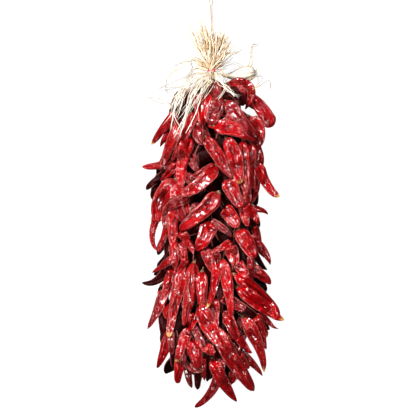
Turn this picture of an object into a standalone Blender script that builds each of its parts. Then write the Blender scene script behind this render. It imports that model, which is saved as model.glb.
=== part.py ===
"""A string of dried chillies (a ristra), lying on its back with its front side up.

Metres, +Z up. The string runs along Y, with the straw tuft at +Y and the lowest tips at -Y.
The origin is at the middle of the bundle's footprint, on the surface it lies on.
The layout is written in centimetres, because that is how the pods are measured; CM turns it to metres.
"""

import math
import random
from typing import NamedTuple

import bmesh
import bpy
import numpy as np
from mathutils import Matrix, Vector
from mathutils.bvhtree import BVHTree

CM = 0.01
SEED = 36                    # the string is sold as a 36 inch one

# Heights above the surface it lies on, in centimetres.
AXIS_HEIGHT = 10.8           # the tying string, which runs down the middle of the bundle
FRONT_RISE = 7.2             # from the string to the front pods' undersides
BACK_SPREAD = 1.12           # the pods underneath are pressed out flat on the floor
NECK_HEIGHT = 6.5            # the straw's tied neck, which droops a little
FLAT_HEIGHT = 0.25           # what the weight of the bundle presses flat underneath

# The pods.
POD_LENGTH = 10.5            # a typical pod, shoulder to tip
POD_THICKNESS = 0.58         # of its width: a dried pod is a flattened pouch
POD_POINTS = 9
HIDDEN = 3.0                 # how far a deep pod's shoulder runs on under the others
CROWN_TOP = 33.0             # but not past the top of the bundle
POD_SIDES = 8
BLUNT = 0.42                 # a tip's half-width, as a share of the pod's

# The bundle as one solid.
CORE_TOP, CORE_BOTTOM = 33.0, -38.0
CORE_GIRTH = 0.5             # of the bundle's own half-width
VOXEL = 0.0042
BUNDLE_TRIANGLES = 6400
CLEARANCE = 0.0005           # between a piece and what it lies on or against

# The straw, tied with thread at its neck: each hank's heading from +Y in degrees, its length,
# its rise in degrees and the half-width of its frayed end.
NECK = (-0.4, 38.1)
NECK_RADIUS = 0.95
NECK_FOOT = 29.0             # how far down the straw is followed before it is cut off at the pods
TUFT = [
    (-10.0, 12.0, -4.0, 0.75), (-3.0, 11.2, 6.0, 0.80), (1.0, 11.4, -19.0, 0.85), (12.0, 10.3, 0.0, 0.80),
    (-14.5, 16.2, -7.0, 0.34),
    (24.0, 11.8, -8.0, 0.70), (33.0, 9.0, 2.0, 0.75), (41.0, 7.2, -16.0, 0.70), (-29.0, 9.2, -6.0, 0.60),
    (-45.0, 6.3, -14.0, 0.60), (-18.0, 6.5, 8.0, 0.95), (17.0, 6.8, 12.0, 0.95), (5.0, 7.0, -30.0, 0.95),
]
TUFT_DROOP = 0.9
TUFT_VOXEL = 0.0028
TUFT_TRIANGLES = 1000

# The skirt of straw below the thread, which falls over the pods to the left: the ends of its outer
# and inner strand, and where each turns down.
SKIRT_OUTER = [(-1.6, 37.6), (-9.2, 36.2), (-11.4, 24.0)]
SKIRT_INNER = [(0.0, 36.9), (-2.6, 33.4), (-6.8, 26.4)]
SKIRT_ACROSS, SKIRT_ALONG = 8, 11
SKIRT_THICKNESS = 0.55
SKIRT_FALL = 0.9             # its steepest slope

# The thread round the neck.
THREAD, THREAD_TURNS = 0.13, 5

# The garlic bulb beside the neck, tied on by its stalk: places along it and its half-width there.
GARLIC = [
    (0.95, 37.3, 6.3, 0.30), (2.2, 37.0, 5.4, 0.34), (3.4, 36.8, 4.2, 0.45), (4.4, 36.8, 3.3, 0.75),
    (5.5, 36.9, 2.7, 1.15), (6.7, 37.1, 2.3, 1.62), (7.9, 37.3, 2.2, 1.95), (9.1, 37.5, 2.15, 2.10),
    (10.2, 37.7, 2.1, 2.00), (11.0, 37.8, 2.1, 1.60), (11.5, 37.9, 2.1, 0.95),
]
GARLIC_SIDES, GARLIC_CLOVES, GARLIC_RELIEF = 27, 9, 0.045

# The hanging loop, a doubled twine that drops from the tuft to the surface and runs on along it.
TWINE = 0.30
LOOP_ROUTE = [
    (-0.36, 49.3, 1.80), (-0.38, 49.9, 1.62), (-0.42, 50.7, 1.20), (-0.47, 51.6, 0.68), (-0.53, 52.6, 0.30),
    (-0.60, 53.8, 0.16), (-0.68, 55.0, 0.16), (-0.78, 56.3, 0.16), (-0.94, 57.5, 0.16), (-1.20, 58.7, 0.16),
    (-1.42, 59.8, 0.16), (-1.38, 60.9, 0.16), (-0.95, 61.6, 0.16), (-0.28, 61.6, 0.16), (0.20, 60.9, 0.16),
    (0.28, 59.8, 0.16), (0.08, 58.7, 0.16), (-0.16, 57.5, 0.16), (-0.28, 56.3, 0.16), (-0.30, 55.0, 0.16),
    (-0.26, 53.8, 0.16), (-0.18, 52.6, 0.30), (-0.10, 51.6, 0.68), (-0.04, 50.7, 1.20), (0.00, 49.9, 1.62),
    (0.02, 49.3, 1.80),
]


class Pod(NamedTuple):
    """One chilli by its plan: shoulder, tip, sideways bow of its middle (+ is left), width and layer."""

    x: float
    y: float
    tip_x: float
    tip_y: float
    bow: float
    width: float
    layer: int


# The pods of the front, tie by tie down the string. Layer 1 lies deepest.
CROWN = [
    Pod(8.6, 27.8, 14.3, 23.5, 0.3, 2.7, 1), Pod(11.1, 29.7, 14.6, 25.1, 0.5, 3.3, 2),
    Pod(4.3, 34.6, 11.6, 31.1, 1.3, 3.0, 3), Pod(11.6, 32.1, 8.4, 27.5, 0.8, 2.6, 4),
    Pod(3.0, 31.6, 8.9, 30.2, -0.3, 2.6, 3), Pod(4.9, 33.8, 9.5, 31.6, 0.0, 3.0, 1),
    Pod(-0.5, 35.1, 1.4, 29.4, 0.0, 3.6, 4), Pod(-1.9, 31.6, -2.2, 23.2, -1.2, 4.1, 5),
    Pod(1.4, 30.2, -1.9, 23.0, 0.8, 4.2, 6), Pod(1.9, 27.0, 5.1, 24.8, 0.0, 2.4, 1),
    Pod(7.3, 24.8, -1.6, 22.7, 0.4, 2.4, 2), Pod(1.1, 21.6, 11.1, 19.2, 0.6, 4.2, 3),
    Pod(3.2, 29.2, 11.1, 19.2, 0.3, 3.2, 5), Pod(9.2, 25.1, 12.7, 17.3, 1.3, 3.7, 3),
    Pod(7.3, 26.7, 10.5, 21.3, 0.2, 3.0, 2), Pod(5.1, 29.7, 7.6, 27.3, 0.0, 2.6, 2),
]
LEFT_SHOULDER = [
    Pod(-8.6, 31.3, -11.3, 22.7, -0.6, 3.2, 2), Pod(-6.2, 31.6, -8.9, 22.4, -0.6, 3.0, 3),
    Pod(-3.5, 32.7, -6.2, 27.3, -0.5, 3.4, 3), Pod(-1.4, 34.8, -5.1, 30.0, -0.3, 3.2, 2),
    Pod(-11.1, 24.8, -16.5, 17.8, -0.3, 2.6, 2), Pod(-9.5, 24.0, -14.6, 17.6, 0.0, 2.2, 1),
    Pod(-8.9, 23.0, -14.3, 10.8, -0.3, 3.1, 5), Pod(-7.3, 23.5, -11.6, 13.8, -0.2, 2.5, 4),
    Pod(-5.1, 26.2, -11.1, 13.2, 0.1, 2.6, 5), Pod(-6.2, 20.3, -8.6, 6.2, -0.8, 3.4, 6),
    Pod(-10.5, 13.0, -19.2, 11.9, 0.2, 2.3, 1), Pod(-11.1, 11.3, -18.4, 6.2, 0.0, 2.3, 3),
    Pod(-9.2, 12.7, -14.0, 7.8, -0.2, 2.6, 4), Pod(-15.1, 7.8, -16.7, 3.2, 0.0, 2.0, 2),
    Pod(-10.3, 7.3, -14.9, -3.2, -2.1, 3.5, 4), Pod(-8.4, 6.8, -12.4, 3.8, 0.2, 2.6, 5),
]
UPPER_MIDDLE = [
    Pod(-4.3, 23.0, -2.7, 17.6, -0.5, 3.2, 3), Pod(-2.7, 22.1, -1.1, 19.4, 0.0, 2.2, 2),
    Pod(-1.6, 19.2, 4.9, 8.6, 0.3, 3.3, 5), Pod(3.5, 19.7, 7.0, 7.3, 0.8, 3.9, 6),
    Pod(8.1, 17.0, 8.9, 6.8, 0.1, 2.7, 4), Pod(10.3, 16.7, 10.3, 5.7, 0.2, 2.4, 4),
    Pod(11.6, 17.6, 13.2, 11.1, 0.3, 2.4, 3), Pod(12.2, 12.2, 17.6, 3.5, -0.6, 2.9, 5),
    Pod(10.8, 11.1, 10.3, 2.2, 1.3, 2.3, 3), Pod(0.8, 12.7, -8.9, 3.8, 2.1, 3.8, 6),
    Pod(-6.5, 15.9, -4.3, 10.5, 0.0, 3.0, 2), Pod(-1.4, 11.1, -6.8, 8.1, 0.0, 2.0, 3),
    Pod(-6.2, 8.6, -3.8, 6.2, 0.0, 2.6, 4), Pod(-8.9, 8.9, -7.6, 4.3, 0.0, 2.6, 4),
]
WAIST = [
    Pod(4.6, 6.8, 8.1, 0.8, -0.2, 4.0, 4), Pod(7.8, 2.4, 9.2, -4.3, 0.0, 2.7, 3),
    Pod(8.4, 7.3, 9.7, 1.9, 0.0, 3.0, 3), Pod(1.4, 5.1, -9.2, -4.6, 1.7, 4.9, 8),
    Pod(-4.1, 2.2, -6.5, -3.0, 0.0, 2.3, 6), Pod(2.7, 1.1, 6.8, -4.6, 0.2, 3.9, 7),
    Pod(-7.0, 3.2, -13.0, -4.9, -2.6, 2.2, 5), Pod(-9.7, 1.6, -7.8, -3.2, 0.0, 3.3, 4),
    Pod(-7.6, 2.2, -6.8, -1.1, 0.0, 2.4, 2), Pod(-10.8, 0.8, -10.5, -11.0, -0.2, 2.8, 7),
    Pod(-10.9, -8.5, -10.2, -16.5, 0.2, 2.7, 6), Pod(-15.7, -3.2, -15.4, -11.0, -0.9, 1.8, 3),
    Pod(-12.4, -4.0, -15.1, -11.0, 0.3, 1.7, 3), Pod(-12.4, -3.5, -12.7, -13.8, 0.0, 1.9, 1),
    Pod(-7.8, -6.8, -4.9, -11.3, 0.0, 2.6, 4), Pod(-5.7, -5.4, -8.9, -6.8, 0.0, 2.4, 2),
    Pod(0.5, -3.0, -4.1, -10.3, 0.3, 4.4, 6), Pod(-0.5, -3.2, 5.1, -7.0, 0.5, 2.5, 5),
    Pod(-2.2, -9.7, 1.1, -17.6, -0.3, 2.9, 6), Pod(4.6, -8.6, -0.8, -11.1, 0.2, 2.0, 5),
    Pod(0.8, -11.6, 1.4, -18.4, 0.0, 2.1, 5), Pod(4.3, -9.5, 5.9, -15.4, 0.4, 3.8, 7),
    Pod(6.8, -5.1, 11.1, -12.7, 0.3, 4.2, 7), Pod(10.0, -7.3, 15.9, -14.3, 0.4, 3.1, 5),
    Pod(11.6, -5.4, 12.7, -10.3, 0.2, 2.0, 4), Pod(10.5, 0.8, 15.1, -0.5, 0.2, 1.7, 2),
    Pod(9.7, 0.3, 12.2, -3.5, 0.3, 2.7, 4), Pod(10.3, -1.4, 11.6, -7.3, 0.0, 2.2, 2),
    Pod(-11.6, -13.8, -19.2, -20.1, 1.6, 2.7, 2), Pod(-12.2, -13.8, -16.5, -16.7, 0.0, 1.7, 3),
    Pod(-8.6, -9.2, -7.6, -14.3, 0.0, 2.7, 5), Pod(-6.8, -12.7, -9.7, -16.5, 0.0, 1.6, 6),
    Pod(10.5, -15.7, 15.7, -19.7, 0.3, 3.3, 5), Pod(11.9, -12.7, 14.3, -16.2, 0.0, 1.8, 2),
    Pod(6.8, -14.3, 9.2, -17.8, 0.0, 2.7, 5), Pod(10.0, -11.6, 10.5, -19.4, 0.0, 1.7, 6),
]
SHEAF = [
    Pod(-10.8, -16.7, -13.8, -26.2, -0.2, 3.0, 4), Pod(-13.5, -23.2, -12.2, -29.2, 0.0, 2.6, 3),
    Pod(-7.3, -15.1, -10.0, -26.2, 0.0, 3.0, 6), Pod(-9.2, -22.1, -11.6, -34.3, -0.2, 2.9, 7),
    Pod(-5.1, -14.0, -6.5, -24.0, 0.1, 3.6, 6), Pod(-6.2, -21.9, -7.6, -31.3, 0.2, 3.2, 7),
    Pod(-3.0, -16.2, -2.7, -26.2, 0.0, 3.2, 6), Pod(-3.2, -24.0, 0.0, -34.6, -0.4, 3.8, 5),
    Pod(1.4, -13.8, -1.4, -25.9, 0.3, 2.3, 8), Pod(0.0, -23.0, 1.1, -31.9, 0.0, 2.4, 6),
    Pod(2.4, -12.7, 4.9, -28.6, 0.4, 3.0, 7), Pod(1.6, -19.4, 2.4, -27.0, 0.0, 2.2, 3),
    Pod(6.5, -20.5, 18.9, -30.0, 0.0, 3.7, 7), Pod(5.7, -17.0, 10.5, -21.3, 0.0, 2.5, 6),
    Pod(10.5, -20.3, 18.6, -28.4, 0.3, 2.6, 5), Pod(4.6, -24.0, 8.6, -26.7, 0.0, 3.2, 3),
    Pod(6.8, -25.4, 13.2, -29.7, 0.0, 2.3, 2), Pod(13.0, -27.8, 17.3, -32.4, 0.0, 1.7, 4),
    Pod(12.2, -27.3, 14.9, -32.4, 0.0, 2.4, 1),
]
FOOT = [
    Pod(-14.0, -24.0, -17.8, -31.9, 0.3, 2.5, 3), Pod(-13.5, -26.7, -13.0, -35.9, -0.2, 2.6, 1),
    Pod(-11.9, -34.0, -15.1, -42.7, 0.1, 2.6, 3), Pod(-8.4, -38.1, -10.0, -46.7, 0.1, 3.1, 3),
    Pod(-10.8, -33.8, -10.5, -43.2, 0.0, 2.2, 1), Pod(-11.3, -34.8, -11.1, -39.2, 0.0, 1.8, 3),
    Pod(-6.2, -31.3, -9.7, -40.8, -0.4, 2.6, 7), Pod(-4.6, -27.5, -6.8, -32.4, 0.0, 2.6, 6),
    Pod(-7.0, -34.6, -8.4, -42.1, 0.0, 1.9, 5), Pod(-5.7, -34.8, -4.1, -42.4, 0.2, 3.9, 6),
    Pod(-8.1, -40.2, -2.4, -43.2, -0.9, 1.7, 4), Pod(-5.1, -31.3, -1.6, -38.3, 0.0, 1.9, 5),
    Pod(-2.2, -36.2, 0.3, -38.6, 0.0, 2.5, 6), Pod(0.3, -27.0, 6.5, -41.0, -0.3, 3.8, 7),
    Pod(5.4, -38.6, 11.3, -48.6, 0.5, 2.8, 6), Pod(-0.3, -39.4, 6.5, -51.8, -0.6, 3.3, 6),
    Pod(1.8, -41.5, -4.9, -53.5, 1.7, 2.5, 3), Pod(-6.8, -42.7, -5.7, -48.1, -0.3, 2.2, 2),
    Pod(-3.8, -42.7, -4.3, -48.3, 0.0, 2.9, 2), Pod(-2.7, -41.9, -2.4, -45.9, 0.0, 1.7, 3),
    Pod(4.3, -29.4, 6.8, -34.6, 0.0, 3.2, 4), Pod(3.8, -28.9, 5.4, -35.1, 0.0, 1.6, 3),
    Pod(8.4, -28.1, 14.0, -44.6, 1.0, 3.6, 6), Pod(11.6, -28.9, 14.0, -37.5, 0.3, 2.4, 5),
    Pod(12.4, -29.4, 14.9, -34.0, 0.0, 2.1, 4), Pod(9.2, -39.4, 13.8, -44.6, -0.4, 2.3, 3),
    Pod(6.2, -43.2, 4.3, -47.3, 0.0, 2.9, 5), Pod(4.9, -39.4, 5.7, -45.6, 0.0, 2.6, 1),
    Pod(8.1, -35.4, 10.8, -38.9, 0.0, 2.4, 4), Pod(5.1, -37.3, 8.1, -40.2, 0.0, 3.0, 4),
    Pod(7.3, -39.4, 9.7, -42.7, 0.0, 2.6, 5), Pod(7.8, -31.0, 8.1, -35.6, 0.0, 3.0, 3),
]
FRONT = CROWN + LEFT_SHOULDER + UPPER_MIDDLE + WAIST + SHEAF + FOOT

# The body that the other pods keep within: height on the string, then its left and right edge.
BODY = [
    (36.0, -2.5, 5.5), (31.0, -8.0, 7.5), (25.5, -10.5, 7.0), (18.0, -11.5, 11.0), (8.0, -11.5, 10.5),
    (0.0, -12.0, 9.0), (-10.0, -11.5, 10.5), (-20.0, -11.5, 11.5), (-30.0, -12.5, 12.0), (-38.0, -10.2, 9.2),
    (-42.0, -8.0, 7.0),
]


def edges(y):
    """The body's left and right edge at a height on the string."""
    heights = [row[0] for row in reversed(BODY)]
    return (float(np.interp(y, heights, [row[1] for row in reversed(BODY)])),
            float(np.interp(y, heights, [row[2] for row in reversed(BODY)])))


def fullness(s):
    """Half-width along a pod, 0 at the shoulder to 1 at the tip, as a share of its widest."""
    shoulder = math.sqrt(max(0.0, 1.0 - (1.0 - min(s / 0.16, 1.0)) ** 2))
    tip = math.sqrt(max(0.0, 1.0 - max(0.0, (s - 0.86) / 0.14) ** 2))
    return max(0.14, shoulder * (1.0 - 0.42 * s ** 1.7) * tip)


def plan(pod, steps):
    """Points of a pod's middle line in plan, from shoulder to tip. The deep ones reach back to the string."""
    run, rise = pod.tip_x - pod.x, pod.tip_y - pod.y
    length = math.hypot(run, rise)
    depth = max(0.0, 1.0 - max(0, pod.layer - 3) / 3.0)
    back = -min(HIDDEN * depth, max(0.0, CROWN_TOP - pod.y)) / length
    for step in range(steps):
        s = step / (steps - 1)
        t = back + (1.0 - back) * s
        side = 4.0 * max(0.0, t) * (1.0 - t) * pod.bow / length
        yield s, pod.x + run * t - rise * side, pod.y + rise * t + run * side


class Heap:
    """Heights of what already lies there, on a grid seen from above."""

    CELL = 0.5
    LEFT, LOW = -24.0, -58.0
    COLUMNS, ROWS = 97, 201
    STEEPEST = 0.55          # how fast a pod's middle line climbs or falls

    def __init__(self):
        """Starts from the inner pods, which the front ones are laid on."""
        self.xs = self.LEFT + self.CELL * np.arange(self.COLUMNS)
        self.ys = self.LOW + self.CELL * np.arange(self.ROWS)
        self.top = np.full((self.ROWS, self.COLUMNS), 1.0)
        for row, y in enumerate(self.ys):
            left, right = edges(y)
            half, middle = (right - left) / 2.0, (right + left) / 2.0
            ends = min(1.0, max(0.0, (y + 46.0) / 8.0), max(0.0, (39.0 - y) / 6.0))
            across = np.clip(1.0 - ((self.xs - middle) / half) ** 2, 0.0, 1.0)
            self.top[row] = np.maximum(self.top[row], (AXIS_HEIGHT - 1.0 + FRONT_RISE * np.sqrt(across)) * ends)

    def under(self, x, y, radius):
        """How high a disc of this radius would rest, and the cells below it."""
        reach = max(radius, self.CELL)
        columns = slice(int((x - reach - self.LEFT) / self.CELL), int((x + reach - self.LEFT) / self.CELL) + 2)
        rows = slice(int((y - reach - self.LOW) / self.CELL), int((y + reach - self.LOW) / self.CELL) + 2)
        near = np.hypot(self.xs[columns][None, :] - x, self.ys[rows][:, None] - y) / reach
        cells = self.top[rows, columns][near <= 1.0]
        return 0.5 * float(cells.max()) + 0.5 * float(cells.mean()), rows, columns, near

    def lay(self, pod):
        """Lays a pod on the heap and gives its middle line in space."""
        line = list(plan(pod, POD_POINTS))
        half = [pod.width / 2.0 * fullness(s) for s, _, _ in line]
        lift = [self.under(x, y, 0.7 * r)[0] for (_, x, y), r in zip(line, half)]
        steps = [math.dist(a[1:], b[1:]) * self.STEEPEST for a, b in zip(line, line[1:])]
        for _ in range(2):
            lift = [(a + 2.0 * b + c) / 4.0 for a, b, c in zip([lift[0]] + lift, lift, lift[1:] + [lift[-1]])]
        for i, step in enumerate(steps):
            lift[i + 1] = max(lift[i + 1], lift[i] - step)
        for i, step in reversed(list(enumerate(steps))):
            lift[i] = max(lift[i], lift[i + 1] - step)
        length = math.hypot(pod.tip_x - pod.x, pod.tip_y - pod.y)
        dip = max(0.0, 0.45 * (POD_LENGTH - length))
        middle = []
        for (s, x, y), r, z in zip(line, half, lift):
            thick = r * POD_THICKNESS
            height = max(z + 0.7 * thick - dip * (1.0 - s) ** 1.5, thick)
            _, rows, columns, near = self.under(x, y, r)
            dome = height + thick * np.sqrt(np.clip(1.0 - near ** 2, 0.0, 1.0))
            self.top[rows, columns] = np.where(near < 1.0, np.maximum(self.top[rows, columns], dome),
                                               self.top[rows, columns])
            middle.append((x, y, height))
        return middle


def front_pods():
    """The front pods' middle lines and widths, laid from the deepest layer up."""
    heap = Heap()
    return [(heap.lay(pod), pod.width) for pod in sorted(FRONT, key=lambda pod: pod.layer)]


def round_pod(height, turn, lean, reach, length, width, swing):
    """A pod tied to the string at a height, hanging out at an angle round it; 0 degrees is the front."""
    line = []
    for step in range(POD_POINTS):
        s = step / (POD_POINTS - 1)
        y = height - length * math.cos(lean) * s
        left, right = edges(y)
        angle = turn + swing * s
        out = 2.0 + (reach - 2.0) * math.sin(0.5 * math.pi * s ** 0.8) * min(1.0, length * math.sin(lean) / 6.0)
        side = math.sin(angle)
        edge = (right - (right + left) / 2.0) / 11.5
        x = (right + left) / 2.0 + side * out * edge
        thick = width / 2.0 * fullness(s) * POD_THICKNESS
        rise = out * math.cos(angle)
        line.append((x, y, max(AXIS_HEIGHT + rise * (0.88 if rise > 0.0 else BACK_SPREAD), thick)))
    return line, width


def other_pods():
    """The inner pods and those of the sides and the back, tied on in tiers."""
    rng = random.Random(SEED)
    pods = []
    for tier in range(27):
        height = 34.0 - 2.55 * tier
        for place in range(5):
            turn = 2.399963 * (tier * 5 + place) + rng.uniform(-0.2, 0.2)
            front = math.cos(turn) > 0.3
            reach = rng.uniform(6.5, 8.5) if front else rng.uniform(10.0, 11.8)
            pods.append(round_pod(height + rng.uniform(-1.2, 1.2), turn, math.radians(rng.uniform(22.0, 52.0)),
                                  reach, rng.uniform(9.5, 12.5), rng.uniform(2.4, 3.6), rng.uniform(-0.35, 0.35)))
    return pods


def section_outline(sides, thickness):
    """A closed oval that the tubes are drawn with, one unit in half-width."""
    outline = bpy.data.curves.new("section", "CURVE")
    outline.dimensions = "2D"
    ring = outline.splines.new("POLY")
    ring.points.add(sides - 1)
    ring.use_cyclic_u = True
    for i, point in enumerate(ring.points):
        angle = math.tau * i / sides
        point.co = (math.cos(angle), thickness * math.sin(angle), 0.0, 1.0)
    section = bpy.data.objects.new("section", outline)
    bpy.context.scene.collection.objects.link(section)
    return section


def tube_bodies(lines, sides, thickness):
    """A closed tube for each line of (x, y, z, half-width), as one mesh."""
    section = section_outline(sides, thickness)
    tubes = bpy.data.curves.new("tubes", "CURVE")
    tubes.dimensions, tubes.twist_mode = "3D", "Z_UP"
    tubes.bevel_mode, tubes.bevel_object, tubes.use_fill_caps = "OBJECT", section, True
    for line in lines:
        spline = tubes.splines.new("POLY")
        spline.points.add(len(line) - 1)
        for point, (x, y, z, half) in zip(spline.points, line):
            point.co = (CM * x, CM * y, CM * z, 1.0)
            point.radius = CM * half
    guide = bpy.data.objects.new("tubes", tubes)
    bpy.context.scene.collection.objects.link(guide)
    mesh = bpy.data.meshes.new_from_object(guide.evaluated_get(bpy.context.evaluated_depsgraph_get()))
    for helper in (guide, section):
        bpy.data.objects.remove(helper)
    return mesh


def pod_bodies(pods):
    """The pods as flattened tubes that swell at the shoulder and close at the tip."""
    return tube_bodies([[(*place, width / 2.0 * max(BLUNT, fullness(i / (len(line) - 1))))
                         for i, place in enumerate(line)] for line, width in pods], POD_SIDES, POD_THICKNESS)


def merged(name, meshes, voxel, triangles):
    """Fuses closed bodies that overlap into one closed solid with about this many triangles."""
    bm = bmesh.new()
    for mesh in meshes:
        bm.from_mesh(mesh)
    bmesh.ops.remove_doubles(bm, verts=bm.verts, dist=1e-6)
    body = new_object(name, bm)
    remesh = body.modifiers.new("fuse", "REMESH")
    remesh.mode, remesh.voxel_size = "VOXEL", voxel
    keep_outer_skin(body)
    dense = body.data
    for tries in range(24):
        body.data = dense
        thin = body.modifiers.new("thin", "DECIMATE")
        thin.ratio = triangles * (1.0 - 0.003 * tries) / (2.0 * len(dense.polygons))
        thin.use_collapse_triangulate = True
        keep_outer_skin(body)
        if is_closed(body):
            break
    return body


def is_closed(body):
    """Whether every edge has exactly two faces, with points that coincide taken as one."""
    bm = bmesh.new()
    bm.from_mesh(body.data)
    bmesh.ops.remove_doubles(bm, verts=bm.verts, dist=2e-6)
    closed = all(edge.is_manifold for edge in bm.edges)
    bm.free()
    return closed


def new_object(name, bm):
    """A mesh object made from a bmesh, which it frees."""
    body = bpy.data.objects.new(name, bpy.data.meshes.new(name))
    bm.to_mesh(body.data)
    bm.free()
    bpy.context.scene.collection.objects.link(body)
    return body


def apply_modifiers(body):
    """Turns an object's modifiers into its mesh."""
    mesh = bpy.data.meshes.new_from_object(body.evaluated_get(bpy.context.evaluated_depsgraph_get()))
    body.modifiers.clear()
    body.data = mesh


def keep_outer_skin(body):
    """Applies the modifiers and drops every shell but the largest, so no void or crumb is left."""
    apply_modifiers(body)
    bm = bmesh.new()
    bm.from_mesh(body.data)
    left, shells = set(bm.verts), []
    while left:
        shell, edge = set(), [left.pop()]
        while edge:
            vert = edge.pop()
            shell.add(vert)
            for link in vert.link_edges:
                other = link.other_vert(vert)
                if other in left:
                    left.remove(other)
                    edge.append(other)
        shells.append(shell)
    shells.sort(key=len)
    for shell in shells[:-1]:
        bmesh.ops.delete(bm, geom=list(shell), context="VERTS")
    bm.to_mesh(body.data)
    bm.free()


def cut_level(body, point, normal):
    """Cuts off what lies behind a plane and closes the flat spots that it leaves."""
    bm = bmesh.new()
    bm.from_mesh(body.data)
    bmesh.ops.bisect_plane(bm, geom=bm.verts[:] + bm.edges[:] + bm.faces[:], dist=1e-6, plane_co=point,
                           plane_no=normal, clear_inner=True)
    bmesh.ops.holes_fill(bm, edges=[edge for edge in bm.edges if edge.is_boundary])
    bmesh.ops.triangulate(bm, faces=bm.faces)
    bm.to_mesh(body.data)
    bm.free()


def skin(*bodies):
    """What a ray or a nearest point is looked up on."""
    bm = bmesh.new()
    for body in bodies:
        bm.from_mesh(body.data)
    tree = BVHTree.FromBMesh(bm)
    bm.free()
    return tree


def core_body():
    """The packed stems and short pods round the tying string."""
    bpy.ops.mesh.primitive_uv_sphere_add(segments=20, ring_count=24, radius=1.0)
    ball = bpy.context.object
    mesh = ball.data
    length, middle = (CORE_TOP - CORE_BOTTOM) / 2.0, (CORE_TOP + CORE_BOTTOM) / 2.0
    for vert in mesh.vertices:
        around, along = Vector((vert.co.x, vert.co.y)), math.asin(max(-1.0, min(1.0, vert.co.z))) / (math.pi / 2.0)
        y = middle + length * along
        left, right = edges(y)
        girth = CORE_GIRTH * (right - left) / 2.0 * math.sqrt(max(0.0, 1.0 - abs(along) ** 4))
        if around.length > 0.0:
            around.normalize()
        vert.co = Vector(((left + right) / 2.0 + girth * around.x, y, AXIS_HEIGHT + girth * around.y)) * CM
    bm = bmesh.new()
    bm.from_mesh(mesh)
    bmesh.ops.recalc_face_normals(bm, faces=bm.faces)
    bm.to_mesh(mesh)
    bm.free()
    bpy.data.objects.remove(ball)
    return mesh


def make_bundle():
    """All the pods and the core as one solid out to its uneven outline, lying on its flat spots."""
    body = merged("chilli_bundle", [pod_bodies(front_pods() + other_pods()), core_body()], VOXEL,
                  BUNDLE_TRIANGLES)
    cut_level(body, (0.0, 0.0, FLAT_HEIGHT * CM), (0, 0, 1))
    body.data.transform(Matrix.Translation((0.0, 0.0, -FLAT_HEIGHT * CM)))
    keep_outer_skin(body)
    return body


def hank(heading, length, rise, half):
    """One hank of the tuft, from the tied neck to its frayed end."""
    steps = 8
    heading, rise = math.radians(heading), math.radians(rise)
    for step in range(steps):
        s = step / (steps - 1)
        spread = min(1.0, s / 0.25) ** 2
        out = length * s * math.cos(rise)
        yield (NECK[0] + math.sin(heading) * out * (0.3 + 0.7 * spread), NECK[1] + math.cos(heading) * out,
               NECK_HEIGHT + length * s * math.sin(rise) - TUFT_DROOP * s * s,
               0.5 + (half - 0.5) * min(1.0, s / 0.6))


def make_tuft(bundle):
    """The straw above the thread, with its neck running down to the pods."""
    neck = [(NECK[0], y, NECK_HEIGHT, NECK_RADIUS) for y in np.linspace(NECK_FOOT, NECK[1] + 1.0, 9)]
    body = merged("raffia_tuft", [tube_bodies([neck], 16, 1.0), tube_bodies([list(hank(*row)) for row in TUFT], 8, 0.8)],
                  TUFT_VOXEL, TUFT_TRIANGLES)
    tree, highest = skin(bundle), NECK_FOOT * CM
    for step in range(60):
        reach, angle = (NECK_RADIUS + 0.15) * (step % 6) / 5.0, step * 0.61
        start = (CM * (NECK[0] + reach * math.cos(angle)), CM * 42.0, CM * (NECK_HEIGHT + reach * math.sin(angle)))
        hit = tree.ray_cast(Vector(start), Vector((0, -1, 0)))[0]
        highest = max(highest, hit.y if hit else highest)
    cut_level(body, (0.0, highest + CLEARANCE, 0.0), (0, 1, 0))
    keep_outer_skin(body)
    return body


def bent(a, b, c, t):
    """A point on the curve from a to c that is drawn towards b."""
    return tuple((1 - t) ** 2 * p + 2 * t * (1 - t) * q + t * t * r for p, q, r in zip(a, b, c))


def make_skirt(bundle, tuft):
    """The straw that falls over the pods: a mat that lies just over whatever is under it."""
    tree = skin(bundle, tuft)
    rows = []
    for across in range(SKIRT_ACROSS):
        u = across / (SKIRT_ACROSS - 1)
        a, b, c = (tuple(p + (q - p) * u for p, q in zip(outer, inner))
                   for outer, inner in zip(SKIRT_OUTER, SKIRT_INNER))
        rows.append([bent(a, b, c, along / (SKIRT_ALONG - 1)) for along in range(SKIRT_ALONG)])
    heights = [[resting_height(tree, x, y, 0.95) for x, y in row] for row in rows]
    for row, line in zip(heights, rows):
        for i in list(range(1, len(row))) + list(range(len(row) - 2, -1, -1)):
            for j in (i - 1, i + 1):
                if 0 <= j < len(row):
                    row[i] = max(row[i], row[j] - SKIRT_FALL * math.dist(line[i], line[j]))
    bm = bmesh.new()
    grid = [[bm.verts.new((CM * x, CM * y, CM * z + CLEARANCE)) for (x, y), z in zip(line, row)]
            for line, row in zip(rows, heights)]
    for i in range(SKIRT_ACROSS - 1):
        for j in range(SKIRT_ALONG - 1):
            bm.faces.new((grid[i][j], grid[i + 1][j], grid[i + 1][j + 1], grid[i][j + 1]))
    bmesh.ops.triangulate(bm, faces=bm.faces)
    lower = list(bm.faces)
    raised = bmesh.ops.extrude_face_region(bm, geom=lower)
    upper = [item for item in raised["geom"] if isinstance(item, bmesh.types.BMVert)]
    bmesh.ops.translate(bm, verts=upper, vec=(0, 0, CM * SKIRT_THICKNESS))
    bmesh.ops.recalc_face_normals(bm, faces=bm.faces)
    return new_object("raffia_skirt", bm)


def resting_height(tree, x, y, reach):
    """The highest surface within reach of a place, in centimetres, or a low one where there is none."""
    best = 2.0
    for ring in range(5):
        for spoke in range(12 if ring else 1):
            out, angle = reach * ring / 4.0, math.tau * spoke / 12.0
            start = Vector((CM * (x + out * math.cos(angle)), CM * (y + out * math.sin(angle)), 1.0))
            hit = tree.ray_cast(start, Vector((0, 0, -1)))[0]
            best = max(best, hit.z / CM if hit else best)
    return best


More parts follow.
